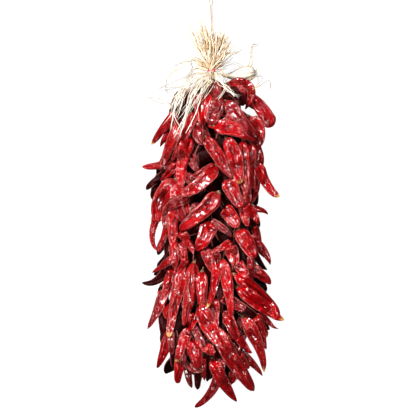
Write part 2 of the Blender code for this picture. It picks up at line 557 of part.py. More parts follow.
def make_band():
    """The thread's turns round the neck, side by side."""
    half = THREAD * THREAD_TURNS / 2.0
    inner = NECK_RADIUS + 0.12
    bm = bmesh.new()
    profile = [(inner, -half)]
    for turn in range(THREAD_TURNS):
        for step in range(1, 4):
            angle = math.pi * step / 4.0
            profile.append((inner + THREAD * (0.7 + 0.5 * math.sin(angle)),
                            -half + THREAD * (turn + 0.5 - 0.5 * math.cos(angle))))
    profile.append((inner, half))
    verts = [bm.verts.new((CM * r, CM * y, 0.0)) for r, y in profile]
    for first, second in zip(verts, verts[1:] + verts[:1]):
        bm.edges.new((first, second))
    bmesh.ops.spin(bm, geom=bm.verts[:] + bm.edges[:], cent=(0, 0, 0), axis=(0, 1, 0), angle=math.tau, steps=24,
                   use_merge=True)
    bmesh.ops.remove_doubles(bm, verts=bm.verts, dist=1e-6)
    bmesh.ops.recalc_face_normals(bm, faces=bm.faces)
    band = new_object("tie_band", bm)
    band.data.transform(Matrix.Translation((CM * NECK[0], CM * NECK[1], CM * NECK_HEIGHT)))
    return band


def make_garlic():
    """The bulb with its cloves showing through the skin, and the dried stalk it is tied on by."""
    mesh = tube_bodies([GARLIC], GARLIC_SIDES, 1.0)
    axis = [Vector(row[:3]) * CM for row in GARLIC]
    bm = bmesh.new()
    bm.from_mesh(mesh)
    bmesh.ops.remove_doubles(bm, verts=bm.verts, dist=1e-6)
    for vert in bm.verts:
        ring = min(range(len(axis)), key=lambda i: abs(vert.co.x - axis[i].x))
        out = vert.co - axis[ring]
        angle = math.atan2(out.z, out.y)
        swell = GARLIC[ring][3] / 2.1
        vert.co = axis[ring] + out * (1.0 + GARLIC_RELIEF * swell * math.cos(GARLIC_CLOVES * angle))
    bmesh.ops.triangulate(bm, faces=bm.faces)
    bmesh.ops.recalc_face_normals(bm, faces=bm.faces)
    return new_object("garlic_bulb", bm)


def make_loop(tuft):
    """The doubled twine that the string hangs by."""
    tree = skin(tuft)
    route = [Vector(point) * CM for point in LOOP_ROUTE]
    for end in (0, -1):
        hits = []
        for spoke in range(13):
            angle, out = math.tau * spoke / 12.0, (0.6 * CM * TWINE if spoke < 12 else 0.0)
            start = route[end] + Vector((out * math.cos(angle), CM * 3.0, out * math.sin(angle)))
            hit = tree.ray_cast(start, Vector((0, -1, 0)))[0]
            hits.append(hit.y if hit else 0.0)
        route[end].y = max(hits) + CLEARANCE
    loop = bpy.data.curves.new("hanging_loop", "CURVE")
    loop.dimensions, loop.bevel_depth, loop.bevel_resolution = "3D", CM * TWINE / 2.0, 2
    loop.use_fill_caps = True
    spline = loop.splines.new("POLY")
    spline.points.add(len(route) - 1)
    for point, place in zip(spline.points, route):
        point.co = (*place, 1.0)
    body = bpy.data.objects.new("hanging_loop", loop)
    bpy.context.scene.collection.objects.link(body)
    return body


FINISHES = {
    "chilli_bundle": ((0.34, 0.010, 0.012, 1.0), 0.35), "raffia_tuft": ((0.72, 0.52, 0.30, 1.0), 0.75),
    "raffia_skirt": ((0.76, 0.60, 0.38, 1.0), 0.75), "tie_band": ((0.45, 0.03, 0.10, 1.0), 0.6),
    "garlic_bulb": ((0.80, 0.70, 0.52, 1.0), 0.6), "hanging_loop": ((0.42, 0.33, 0.24, 1.0), 0.85),
}


def finish(body):
    """Gives a piece its colour and roughness, and puts it in the string's collection."""
    colour, roughness = FINISHES[body.name]
    material = bpy.data.materials.new(body.name)
    material.use_nodes = True
    shader = material.node_tree.nodes["Principled BSDF"]
    shader.inputs["Base Color"].default_value = colour
    shader.inputs["Roughness"].default_value = roughness
    body.data.materials.clear()
    body.data.materials.append(material)


def main():
    for obj in list(bpy.data.objects):
        bpy.data.objects.remove(obj)
    bundle = make_bundle()
    tuft = make_tuft(bundle)
    pieces = [bundle, tuft, make_skirt(bundle, tuft), make_band(), make_garlic(), make_loop(tuft)]
    string = bpy.data.collections.new("chilli_string")
    bpy.context.scene.collection.children.link(string)
    for piece in pieces:
        finish(piece)
        bpy.context.scene.collection.objects.unlink(piece)
        string.objects.link(piece)


main()
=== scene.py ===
"""The looks of a string of dried chillies (a ristra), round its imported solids.

The string lies on its back with its front side up, the straw tuft at +Y. Sizes and places are in
centimetres, as the pods are measured, and CM turns them into the frame's metres. The front pods are
laid one on another from the table below, and the other pods are tied round the string in tiers.
"""

from __future__ import annotations

import logging
import math
import random
from dataclasses import dataclass, field
from enum import Enum
from typing import Any, Callable, Iterable, NamedTuple, Sequence

import bmesh
import bpy
import numpy as np
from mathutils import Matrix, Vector, noise
from mathutils.bvhtree import BVHTree

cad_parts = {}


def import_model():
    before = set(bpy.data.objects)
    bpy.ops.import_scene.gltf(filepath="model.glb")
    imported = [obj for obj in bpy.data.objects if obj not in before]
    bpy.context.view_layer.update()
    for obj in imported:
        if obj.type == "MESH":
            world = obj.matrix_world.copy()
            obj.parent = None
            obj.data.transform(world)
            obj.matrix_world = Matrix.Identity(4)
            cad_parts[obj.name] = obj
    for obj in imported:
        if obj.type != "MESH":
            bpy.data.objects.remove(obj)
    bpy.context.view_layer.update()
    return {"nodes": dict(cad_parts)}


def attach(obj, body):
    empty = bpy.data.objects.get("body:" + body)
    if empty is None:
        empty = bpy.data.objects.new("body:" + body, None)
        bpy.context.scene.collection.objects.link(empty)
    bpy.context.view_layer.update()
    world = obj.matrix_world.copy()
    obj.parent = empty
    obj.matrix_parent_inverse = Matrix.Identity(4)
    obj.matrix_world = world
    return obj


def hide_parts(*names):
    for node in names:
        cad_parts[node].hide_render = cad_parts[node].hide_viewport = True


LOG = logging.getLogger("chilli_string")
CM = 0.01
SEED = 36                    # the string is sold as a 36 inch one
BODY_NAME = "root"
FLOOR_GAP = 0.0003           # in metres, and nothing comes below it
FAR_OFF = 10.0               # in metres, past everything there is
CREST_SHARPNESS = 2.5        # how fast noise falls off from its crests

Point = Sequence[float]
Colour = tuple[float, float, float]
Kept = dict[str, tuple["Wire", str]]


# ---------------------------------------------------------------- node trees as expressions


class Wire:
    """A node's output that Python's operators work on."""

    def __init__(self, graph: "Graph", socket: bpy.types.NodeSocket) -> None:
        """Keeps the socket and the graph that its maths nodes are added to.

        Args:
            graph: The graph that the socket's node is in.
            socket: The output socket.
        """
        self.graph = graph
        self.socket = socket

    def __add__(self, other: Any) -> "Wire":
        """Self plus other."""
        return self.graph.maths("ADD", self, other)

    def __sub__(self, other: Any) -> "Wire":
        """Self minus other."""
        return self.graph.maths("SUBTRACT", self, other)

    def __rsub__(self, other: Any) -> "Wire":
        """Other minus self."""
        return self.graph.maths("SUBTRACT", other, self)

    def __mul__(self, other: Any) -> "Wire":
        """Self times other."""
        return self.graph.maths("MULTIPLY", self, other)

    def __truediv__(self, other: Any) -> "Wire":
        """Self over other."""
        return self.graph.maths("DIVIDE", self, other)

    def __pow__(self, other: Any) -> "Wire":
        """Self to the power of other."""
        return self.graph.maths("POWER", self, other)

    __radd__ = __add__
    __rmul__ = __mul__


class Graph:
    """A node tree that is written as expressions."""

    def __init__(self, tree: bpy.types.NodeTree) -> None:
        """Starts on a tree.

        Args:
            tree: The node tree that the nodes are added to.
        """
        self.tree = tree

    def node(self, kind: str, inputs: dict[str | int, Any] | None = None, output: str | int = 0,
             **settings: Any) -> Wire:
        """Adds a node, sets it and joins it up.

        Args:
            kind: The node's type.
            inputs: A value or a wire for each input, by its name or its number.
            output: The output that is given back, by its name or its number.
            **settings: The node's own settings, which are set first. "stops" are a ramp's.

        Returns:
            The chosen output.
        """
        node = self.tree.nodes.new(kind)
        for name, value in settings.items():
            if name == "stops":
                self._set_stops(node.color_ramp, value)
            else:
                setattr(node, name, value)
        for key, value in (inputs or {}).items():
            self._join(self._find(node.inputs, key), value)
        return Wire(self, self._find(node.outputs, output))

    def maths(self, operation: str, *values: Any) -> Wire:
        """One Math node on numbers."""
        return self.node("ShaderNodeMath", dict(enumerate(values)), operation=operation)

    def vector(self, operation: str, *values: Any) -> Wire:
        """One Vector Math node.

        Args:
            operation: What it does.
            *values: Its vectors in order; SCALE takes a vector and a number.

        Returns:
            The vector that it gives.
        """
        inputs: dict[str | int, Any] = dict(enumerate(values))
        if operation == "SCALE":
            inputs = {0: values[0], "Scale": values[1]}
        return self.node("ShaderNodeVectorMath", inputs, operation=operation)

    def mix(self, share: Any, first: Any, second: Any) -> Wire:
        """A colour between two, as far along as share says."""
        return self.node("ShaderNodeMix", {0: share, 6: first, 7: second}, output=2, data_type="RGBA")

    def clamp(self, value: Any) -> Wire:
        """The value kept between 0 and 1."""
        return self.node("ShaderNodeClamp", {"Value": value})

    def smooth(self, value: Any, low: float, high: float) -> Wire:
        """A soft step from 0 at low to 1 at high."""
        return self.node("ShaderNodeMapRange", {"Value": value, "From Min": low, "From Max": high},
                         interpolation_type="SMOOTHSTEP")

    def attribute(self, name: str, output: str = "Fac") -> Wire:
        """What a finished mesh carries on its points, for a material: a number, or "Vector"."""
        return self.node("ShaderNodeAttribute", output=output, attribute_name=name)

    def field(self, name: str, kind: str = "FLOAT") -> Wire:
        """A named value on points, for a geometry tree."""
        return self.node("GeometryNodeInputNamedAttribute", {"Name": name}, data_type=kind)

    def store(self, geometry: Wire, name: str, value: Any, kind: str = "FLOAT") -> Wire:
        """Keeps a value on the points under a name."""
        return self.node("GeometryNodeStoreNamedAttribute",
                         {"Geometry": geometry, "Name": name, "Value": value}, data_type=kind, domain="POINT")

    def noise(self, place: Any, scale: float, detail: float, **values: Any) -> Wire:
        """Cloudy noise between about 0 and 1."""
        return self.node("ShaderNodeTexNoise",
                         {"Vector": place, "Scale": scale, "Detail": detail, **values}, output="Fac")

    def crests(self, place: Any, detail: float = 2.0) -> Wire:
        """Noise with sharp crests, 1 on a crest and about 0 well off it."""
        return 1.0 - self.maths("ABSOLUTE", self.noise(place, 1.0, detail) * 2.0 - 1.0) * CREST_SHARPNESS

    def bump(self, height: Any, strength: float, distance: float) -> Wire:
        """A surface direction that stands for small heights, of up to a distance in metres."""
        return self.node("ShaderNodeBump", {"Strength": strength, "Distance": distance, "Height": height})

    def _join(self, socket: bpy.types.NodeSocket, value: Any) -> None:
        """Joins something to an input.

        Args:
            socket: The input.
            value: The wire that is linked to it, or the value that it is set to.
        """
        if isinstance(value, Wire):
            self.tree.links.new(value.socket, socket)
        elif socket.type == "RGBA" and not isinstance(value, (int, float)) and len(value) == 3:
            socket.default_value = (*value, 1.0)
        else:
            socket.default_value = value

    @staticmethod
    def _find(sockets: Any, key: str | int) -> bpy.types.NodeSocket:
        """Finds a socket.

        Args:
            sockets: A node's inputs or outputs.
            key: The socket's number or its name.

        Returns:
            The socket with this number, or the first one in use with this name.
        """
        if isinstance(key, int):
            return sockets[key]
        return next(socket for socket in sockets if socket.name == key and socket.enabled)

    @staticmethod
    def _set_stops(ramp: bpy.types.ColorRamp, stops: Sequence[tuple[float, Colour]]) -> None:
        """Gives a ramp its stops.

        Args:
            ramp: The ramp.
            stops: The place and the colour of each.
        """
        while len(ramp.elements) > 1:
            ramp.elements.remove(ramp.elements[-1])
        for index, (place, colour) in enumerate(stops):
            element = ramp.elements[0] if index == 0 else ramp.elements.new(place)
            element.position = place
            element.color = (*colour, 1.0)


def new_object(name: str, data: Any) -> bpy.types.Object:
    """Puts something in the scene.

    Args:
        name: The object's name.
        data: The mesh, lamp or camera that it holds.

    Returns:
        The object.
    """
    obj = bpy.data.objects.new(name, data)
    bpy.context.scene.collection.objects.link(obj)
    return obj


def new_material(name: str) -> tuple[bpy.types.Material, Graph]:
    """An empty node material.

    Args:
        name: The material's name.

    Returns:
        The material and the graph that it is written in.
    """
    material = bpy.data.materials.new(name)
    material.use_nodes = True
    material.node_tree.nodes.clear()
    return material, Graph(material.node_tree)


def close_material(graph: Graph, **values: Any) -> None:
    """Ends a material in one Principled shader.

    Args:
        graph: The material's graph.
        **values: The shader's inputs, with _ for a space in their names.
    """
    inputs = {name.replace("_", " "): value for name, value in values.items()}
    shader = graph.node("ShaderNodeBsdfPrincipled", inputs)
    end = graph.tree.nodes.new("ShaderNodeOutputMaterial")
    graph.tree.links.new(shader.socket, end.inputs["Surface"])


# ---------------------------------------------------------------- lines, and what sweeps them


@dataclass
class LineSet:
    """Open lines, in centimetres, with values on their points, for a sweep to follow."""

    lines: list[np.ndarray] = field(default_factory=list)
    values: dict[str, list[np.ndarray]] = field(default_factory=dict)

    def add(self, line: np.ndarray, **values: Any) -> None:
        """Adds a line.

        Args:
            line: Its points, one row each.
            **values: A number for the whole line, or one for each point, under each name.
        """
        self.lines.append(line)
        for name, value in values.items():
            row = np.broadcast_to(np.asarray(value, float), (len(line),))
            self.values.setdefault(name, []).append(row)

    def to_object(self, name: str) -> bpy.types.Object:
        """Turns the lines into loose edges.

        Args:
            name: The new object's name.

        Returns:
            The object, in metres, with the values as attributes of its points.
        """
        mesh = bpy.data.meshes.new(name)
        points = np.concatenate(self.lines) * CM
        edges, start = [], 0
        for line in self.lines:
            edges += [(start + i, start + i + 1) for i in range(len(line) - 1)]
            start += len(line)
        mesh.from_pydata(points.tolist(), edges, [])
        for label, rows in self.values.items():
            mesh.attributes.new(label, "FLOAT", "POINT").data.foreach_set("value", np.concatenate(rows))
        return new_object(name, mesh)


@dataclass
class Sweep:
    """Geometry Nodes that draw an outline along lines and then give its wall a shape.

    A line's points carry "half", the half-width there in metres, "roll" and "along", from 0 to 1.
    """

    name: str
    sides: int
    given: bpy.types.Node | None = field(default=None, init=False, repr=False)   # the tree's inputs

    def wall(self, g: Graph, turn: Wire) -> tuple[Wire, Wire, Kept]:
        """How far a point of the wall lies from the line.

        Args:
            g: The graph.
            turn: The point's angle round the line, from 0 to 2 pi.

        Returns:
            Its place to the side and upwards, as shares of the half-width, and what else is kept
            on the points, each with its data type.
        """
        return g.maths("COSINE", turn), g.maths("SINE", turn), {}

    def inputs(self) -> dict[str, float]:
        """The tree's own named sizes."""
        return {}

    def build(self) -> bpy.types.NodeTree:
        """Makes the tree.

        Returns:
            The tree, which takes lines of loose edges and gives their swept walls.
        """
        tree = bpy.data.node_groups.new(self.name, "GeometryNodeTree")
        tree.interface.new_socket("Geometry", in_out="OUTPUT", socket_type="NodeSocketGeometry")
        for name, kind in (("Geometry", "Geometry"), ("Sides", "Int"), ("Material", "Material")):
            tree.interface.new_socket(name, in_out="INPUT", socket_type=f"NodeSocket{kind}")
        for name, value in self.inputs().items():
            size = tree.interface.new_socket(name, in_out="INPUT", socket_type="NodeSocketFloat")
            size.default_value = value
        g = Graph(tree)
        self.given = tree.nodes.new("NodeGroupInput")
        curve = g.node("GeometryNodeMeshToCurve", {"Mesh": self.take(g, "Geometry")})
        curve = g.node("GeometryNodeSetCurveNormal", {"Curve": curve}, mode="Z_UP")
        curve = g.node("GeometryNodeSetCurveTilt", {"Curve": curve, "Tilt": g.field("roll")})
        curve = g.store(curve, "middle", g.node("GeometryNodeInputPosition"), "FLOAT_VECTOR")
        curve = g.store(curve, "sideways", g.node("GeometryNodeInputNormal"), "FLOAT_VECTOR")
        curve = g.store(curve, "onward", g.node("GeometryNodeInputTangent"), "FLOAT_VECTOR")
        ring = g.node("GeometryNodeCurvePrimitiveCircle",
                      {"Resolution": self.take(g, "Sides"), "Radius": 0.001}, mode="RADIUS")
        ring = g.store(ring, "turn", g.node("GeometryNodeInputIndex") * math.tau / self.take(g, "Sides"))
        tube = g.node("GeometryNodeCurveToMesh", {"Curve": curve, "Profile Curve": ring, "Fill Caps": True})
        aside, upwards, kept = self.wall(g, g.field("turn"))
        for name, (value, kind) in kept.items():
            tube = g.store(tube, name, value, kind)
        sideways = g.field("sideways", "FLOAT_VECTOR")
        upward = g.vector("CROSS_PRODUCT", sideways, g.field("onward", "FLOAT_VECTOR"))
        place = g.vector("ADD", g.vector("SCALE", sideways, aside * g.field("half")),
                         g.vector("SCALE", upward, upwards * g.field("half")))
        place = g.vector("ADD", g.field("middle", "FLOAT_VECTOR"), place)
        place = g.vector("MAXIMUM", place, (-FAR_OFF, -FAR_OFF, FLOOR_GAP))
        tube = g.node("GeometryNodeSetPosition", {"Geometry": tube, "Position": place})
        tube = g.node("GeometryNodeSetShadeSmooth", {"Geometry": tube})
        tube = g.node("GeometryNodeRealizeInstances", {"Geometry": tube})
        tube = g.node("GeometryNodeSetMaterial", {"Geometry": tube, "Material": self.take(g, "Material")})
        tree.links.new(tube.socket, tree.nodes.new("NodeGroupOutput").inputs[0])
        return tree

    def take(self, g: Graph, name: str) -> Wire:
        """One of the tree's own inputs."""
        return Wire(g, self.given.outputs[name])

    def run(self, name: str, lines: LineSet, material: bpy.types.Material,
            keep: Iterable[str] = ()) -> bpy.types.Object:
        """Sweeps lines into a plain mesh.

        Args:
            name: The new piece's name.
            lines: The lines to follow.
            material: The finish of the whole piece.
            keep: The names of the values that stay on its points.

        Returns:
            The piece, with its place in its mesh and no modifier left.
        """
        tree = bpy.data.node_groups.get(self.name) or self.build()
        obj = lines.to_object(name)
        modifier = obj.modifiers.new(self.name, "NODES")
        modifier.node_group = tree
        sockets = {item.name: item.identifier for item in tree.interface.items_tree if item.in_out == "INPUT"}
        for label, value in {"Sides": self.sides, "Material": material, **self.inputs()}.items():
            modifier[sockets[label]] = value
        flatten(obj, keep)
        return obj


def flatten(obj: bpy.types.Object, keep: Iterable[str] = ()) -> None:
    """Turns an object's modifiers into its mesh.

    Args:
        obj: The object.
        keep: The names of the point values that stay on the mesh.
    """
    mesh = bpy.data.meshes.new_from_object(obj.evaluated_get(bpy.context.evaluated_depsgraph_get()))
    obj.modifiers.clear()
    obj.data = mesh
    mesh.name = obj.name
    stay = {"position", "sharp_face", "material_index", "UVMap", *keep}
    for label in [item.name for item in mesh.attributes if not item.name.startswith(".")]:
        if label not in stay:
            mesh.attributes.remove(mesh.attributes[label])


def smooth_line(points: np.ndarray, count: int) -> np.ndarray:
    """A soft curve through points.

    Args:
        points: The points, one row each.
        count: How many points to give back.

    Returns:
        Points along the curve, evenly by its parameter.
    """
    ends = np.vstack([2 * points[0] - points[1], points, 2 * points[-1] - points[-2]])
    where = np.linspace(0.0, len(points) - 1.000001, count)
    at = where.astype(int)
    t = (where - at)[:, None]
    a, b, c, d = (ends[at + i] for i in range(4))
    square, cube = 2 * a - 5 * b + 4 * c - d, 3 * b - a - 3 * c + d
    return 0.5 * (2 * b + (c - a) * t + square * t ** 2 + cube * t ** 3)


def arc_length(line: np.ndarray) -> np.ndarray:
    """How far along a line each of its points is."""
    return np.concatenate([[0.0], np.cumsum(np.linalg.norm(np.diff(line, axis=0), axis=1))])


# ---------------------------------------------------------------- the pods' skins


# How fine each kind of crease is round a pod, twice, and along it.
CREASES = (3.0, 3.0, 0.8)
RINGS = (0.9, 0.9, 2.2)
SPECKS = (3.6, 3.6, 4.2)
CLOUDS, MOTTLES = 55.0, 260.0    # how fine its larger and its smaller patches are
RIM_SHEEN = (0.42, 0.12, 0.11)     # a painted sheen along the edge where the two sheets meet
TIP_STRAW = (0.72, 0.42, 0.13)   # a tip that dried to straw
PALER_RED = 0.80                 # of the full colour, for the palest pods
CREASE_RELIEF = 0.0016           # in metres
COAT_ROUGHNESS = 0.15


@dataclass(frozen=True)
class PodSkin:
    """The skin of one kind of dried pod."""

    name: str
    red: Colour                  # the skin where it is clean
    deep: Colour                 # painted shade in the folds and along the creases
    dust_and_sheen: Colour                 # dust and wear in patches, and painted sheen on the ridges
    dust_and_sheen_share: float            # how much of it is dusty and worn, and how strong its painted sheen is
    gloss: float                 # the roughness of its clean places
    wax: float                   # its coat
    shine: float                 # its reflection otherwise
    crinkle: float               # how deep its puckers and fine creases are

    def material(self) -> bpy.types.Material:
        """The skin as a material.

        Returns:
            The material, which reads the values on the pods' points.
        """
        material, g = new_material(self.name)
        place = g.node("ShaderNodeTexCoord", output="Object")
        relief, pod, along = g.attribute("relief"), g.attribute("pod"), g.attribute("along")
        skin = g.attribute("skin", "Vector")
        cloud = g.noise(place, CLOUDS, 3.0)
        mottle = g.noise(place, MOTTLES, 4.0, Roughness=0.7)
        creases, rings, specks = (g.clamp(g.crests(g.vector("MULTIPLY", skin, fineness)))
                                  for fineness in (CREASES, RINGS, SPECKS))
        rings = rings * g.smooth(cloud, 0.44, 0.60)
        crest = g.smooth(relief + (creases - 0.4) * 0.2, 0.5, 0.9)
        # fold: painted shade, strong in the folds, where the relief is low.
        fold = g.smooth(relief + (cloud - 0.5) * 0.2, 0.46, 0.24)
        # Dust and wear in patches, with a painted sheen added on the ridges through the crest term.
        dust_and_sheen = mottle + (cloud - 0.5) * 0.5 + crest * 0.10 + specks * 0.08 + self.dust_and_sheen_share * 0.3
        dust_and_sheen_mask = g.smooth(dust_and_sheen, 0.64, 0.96) * g.clamp(pod * 0.75)
        base = g.mix(pod, self.red, tuple(PALER_RED * part for part in self.red))
        # Painted shade: darker towards deep in the folds and along the creases and rings; the mottle darkens
        # it as its own uneven tone, and the specks in fine flecks.
        for share in (fold * 0.95, g.smooth(mottle, 0.56, 0.40) * 0.35, g.smooth(creases, 0.60, 0.90) * 0.5,
                      g.smooth(rings, 0.45, 0.80) * 0.45, g.smooth(specks, 0.60, 0.85) * 0.30):
            base = g.mix(share, base, self.deep)
        base = g.mix(dust_and_sheen_mask, base, self.dust_and_sheen)
        # Painted sheen: a light line along the pod's edges, stronger on the dustier skins.
        rim = g.smooth(g.attribute("rim") + (mottle - 0.5) * 0.3, 0.84, 0.98)
        base = g.mix(rim * (0.3 + self.dust_and_sheen_share), base, RIM_SHEEN)
        end = g.smooth(along + (mottle - 0.5) * 0.12, 0.90, 0.99) * g.attribute("pale")
        base = g.mix(end, base, TIP_STRAW)
        rough = self.gloss + dust_and_sheen_mask * 0.2 + (cloud - 0.5) * 0.3
        height = creases * 0.65 + rings * 0.95 + specks * 0.25 + mottle * 0.1
        close_material(g, Base_Color=base, Roughness=g.clamp(rough), Coat_Weight=self.wax,
                       Coat_Roughness=COAT_ROUGHNESS, Normal=g.bump(height, 0.6, CREASE_RELIEF),
                       Specular_IOR_Level=self.shine)
        return material


class Skin(Enum):
    """The kinds of dried pod on the string."""

    BRIGHT = PodSkin("bright_pod_skin", (0.365, 0.001, 0.003), (0.10, 0.0005, 0.001), (0.31, 0.06, 0.06),
                     dust_and_sheen_share=0.12, gloss=0.18, wax=0.62, shine=0.17, crinkle=0.8)
    RIDGED = PodSkin("ridged_pod_skin", (0.345, 0.001, 0.003), (0.09, 0.0005, 0.001), (0.32, 0.085, 0.08),
                     dust_and_sheen_share=0.18, gloss=0.17, wax=0.80, shine=0.17, crinkle=1.3)
    PLAIN = PodSkin("plain_pod_skin", (0.285, 0.001, 0.003), (0.07, 0.0005, 0.001), (0.28, 0.07, 0.07),
                    dust_and_sheen_share=0.18, gloss=0.20, wax=0.60, shine=0.15, crinkle=0.9)
    DUSTY = PodSkin("dusty_pod_skin", (0.19, 0.002, 0.005), (0.055, 0.0005, 0.001), (0.20, 0.07, 0.066),
                    dust_and_sheen_share=0.36, gloss=0.24, wax=0.50, shine=0.16, crinkle=1.2)
    # Near black: partly pods of a dark red, partly painted shade on the lower layers of the front.
    DARK = PodSkin("dark_pod_skin", (0.028, 0.0002, 0.0005), (0.004, 0.0001, 0.0001), (0.045, 0.004, 0.005),
                   dust_and_sheen_share=0.16, gloss=0.40, wax=0.0, shine=0.05, crinkle=0.7)
    # Painted shade: near black, for the deepest layer, so that the gaps between the front pods read as
    # shadow.
    SHADED = PodSkin("shaded_pod_skin", (0.013, 0.0001, 0.0002), (0.003, 0.0001, 0.0001),
                     (0.02, 0.002, 0.002), dust_and_sheen_share=0.16, gloss=0.45, wax=0.0, shine=0.04, crinkle=0.7)


BRIGHT, RIDGED, PLAIN, DUSTY, DARK, SHADED = Skin


# ---------------------------------------------------------------- where the pods lie


class Pod(NamedTuple):
    """One chilli by its plan: shoulder, tip, sideways bow of its middle (+ is left), width and layer."""

    x: float
    y: float
    tip_x: float
    tip_y: float
    bow: float
    width: float
    layer: int
    skin: Skin
    pale: float = 0.0            # how straw-coloured its tip is
    tucked: float = 1.0          # how far its shoulder dives in; below 0 it is bare and has lost its stem


# The pods of the front, tie by tie down the string. Layer 1 lies deepest.
CROWN = [
    Pod(15.0, 24.5, 9.8, 31.2, -0.5, 4.0, 4, PLAIN, 0.0, -1.0),
    Pod(4.0, 34.6, 8.8, 27.4, 4.3, 2.5, 5, PLAIN),
    Pod(4.6, 33.0, 8.2, 28.6, 0.3, 3.0, 3, DARK), Pod(4.9, 33.8, 9.5, 31.6, 0.0, 3.0, 1, BRIGHT),
    Pod(-0.5, 35.1, 2.2, 29.2, 0.0, 3.6, 4, DUSTY), Pod(-2.6, 31.0, -2.6, 23.2, -0.3, 4.8, 5, BRIGHT),
    Pod(1.6, 30.8, -1.0, 23.2, 0.2, 4.2, 6, DUSTY), Pod(1.9, 27.0, 5.1, 24.8, 0.0, 2.4, 1, BRIGHT),
    Pod(7.3, 25.2, -1.6, 22.7, 0.4, 3.2, 4, BRIGHT), Pod(1.3, 22.6, 11.3, 19.0, 0.9, 4.1, 5, BRIGHT),
    Pod(3.2, 29.6, 11.1, 19.6, 0.3, 3.4, 6, DUSTY), Pod(10.0, 24.6, 12.7, 17.5, 1.3, 3.9, 5, BRIGHT),
    Pod(6.6, 32.0, 12.8, 27.4, 0.2, 3.3, 2, PLAIN),
    Pod(6.3, 25.7, 9.5, 20.3, 0.2, 3.0, 2, DARK), Pod(5.1, 29.7, 7.6, 27.3, 0.0, 2.6, 2, DARK),
]
LEFT_SHOULDER = [
    Pod(-8.6, 31.3, -11.3, 22.7, -0.6, 3.2, 2, DARK), Pod(-6.2, 31.6, -8.9, 22.4, -0.6, 3.0, 3, DARK),
    Pod(-3.5, 32.7, -6.2, 27.3, -0.5, 3.4, 3, DARK), Pod(-1.4, 34.8, -5.1, 30.0, -0.3, 3.2, 2, DARK),
    Pod(-11.1, 24.8, -16.5, 17.8, -0.3, 2.6, 2, PLAIN, 0.7),
    Pod(-9.5, 24.0, -14.6, 17.6, 0.0, 2.2, 1, BRIGHT),
    Pod(-8.9, 23.0, -14.3, 10.8, -0.3, 3.1, 5, RIDGED), Pod(-7.3, 23.5, -11.6, 13.8, -0.2, 2.5, 4, DARK),
    Pod(-5.1, 26.2, -11.1, 13.2, 0.1, 2.6, 5, PLAIN), Pod(-6.2, 20.3, -8.6, 6.2, -0.8, 3.4, 6, BRIGHT),
    Pod(-10.5, 13.0, -19.2, 11.9, 0.2, 2.3, 1, PLAIN), Pod(-11.1, 11.3, -18.4, 6.2, 0.0, 2.3, 3, DARK),
    Pod(-9.2, 12.7, -14.0, 7.8, -0.2, 2.6, 4, PLAIN), Pod(-15.1, 7.8, -16.7, 3.2, 0.0, 2.0, 2, DARK),
    Pod(-10.3, 7.5, -14.7, -3.2, -1.8, 5.0, 5, RIDGED), Pod(-8.4, 6.8, -12.4, 3.8, 0.2, 2.6, 5, RIDGED),
]
UPPER_MIDDLE = [
    Pod(-4.3, 23.0, -2.7, 17.6, -0.5, 3.2, 3, DUSTY), Pod(-2.7, 22.1, -1.1, 19.4, 0.0, 2.2, 2, DUSTY),
    Pod(-1.6, 19.2, 4.9, 8.6, 0.3, 3.3, 5, PLAIN), Pod(3.5, 19.7, 7.0, 7.3, 0.8, 3.9, 6, BRIGHT, 0.6),
    Pod(8.1, 17.0, 8.9, 6.8, 0.1, 2.7, 4, PLAIN), Pod(10.3, 16.7, 10.3, 5.7, 0.2, 2.4, 4, PLAIN),
    Pod(11.6, 17.6, 13.2, 11.1, 0.3, 2.4, 3, PLAIN), Pod(12.2, 12.2, 17.6, 3.5, -0.6, 2.9, 5, BRIGHT, 0.6),
    Pod(10.8, 11.1, 10.3, 2.2, 1.3, 2.3, 3, PLAIN), Pod(0.8, 12.4, -9.2, 4.2, 1.3, 3.6, 6, RIDGED),
    Pod(-6.5, 15.9, -4.3, 10.5, 0.0, 3.0, 2, DUSTY), Pod(-1.4, 11.1, -6.8, 8.1, 0.0, 2.0, 3, PLAIN),
    Pod(-6.2, 8.6, -3.8, 6.2, 0.0, 2.6, 4, DUSTY), Pod(-8.9, 8.9, -7.6, 4.3, 0.0, 2.6, 4, RIDGED),
]
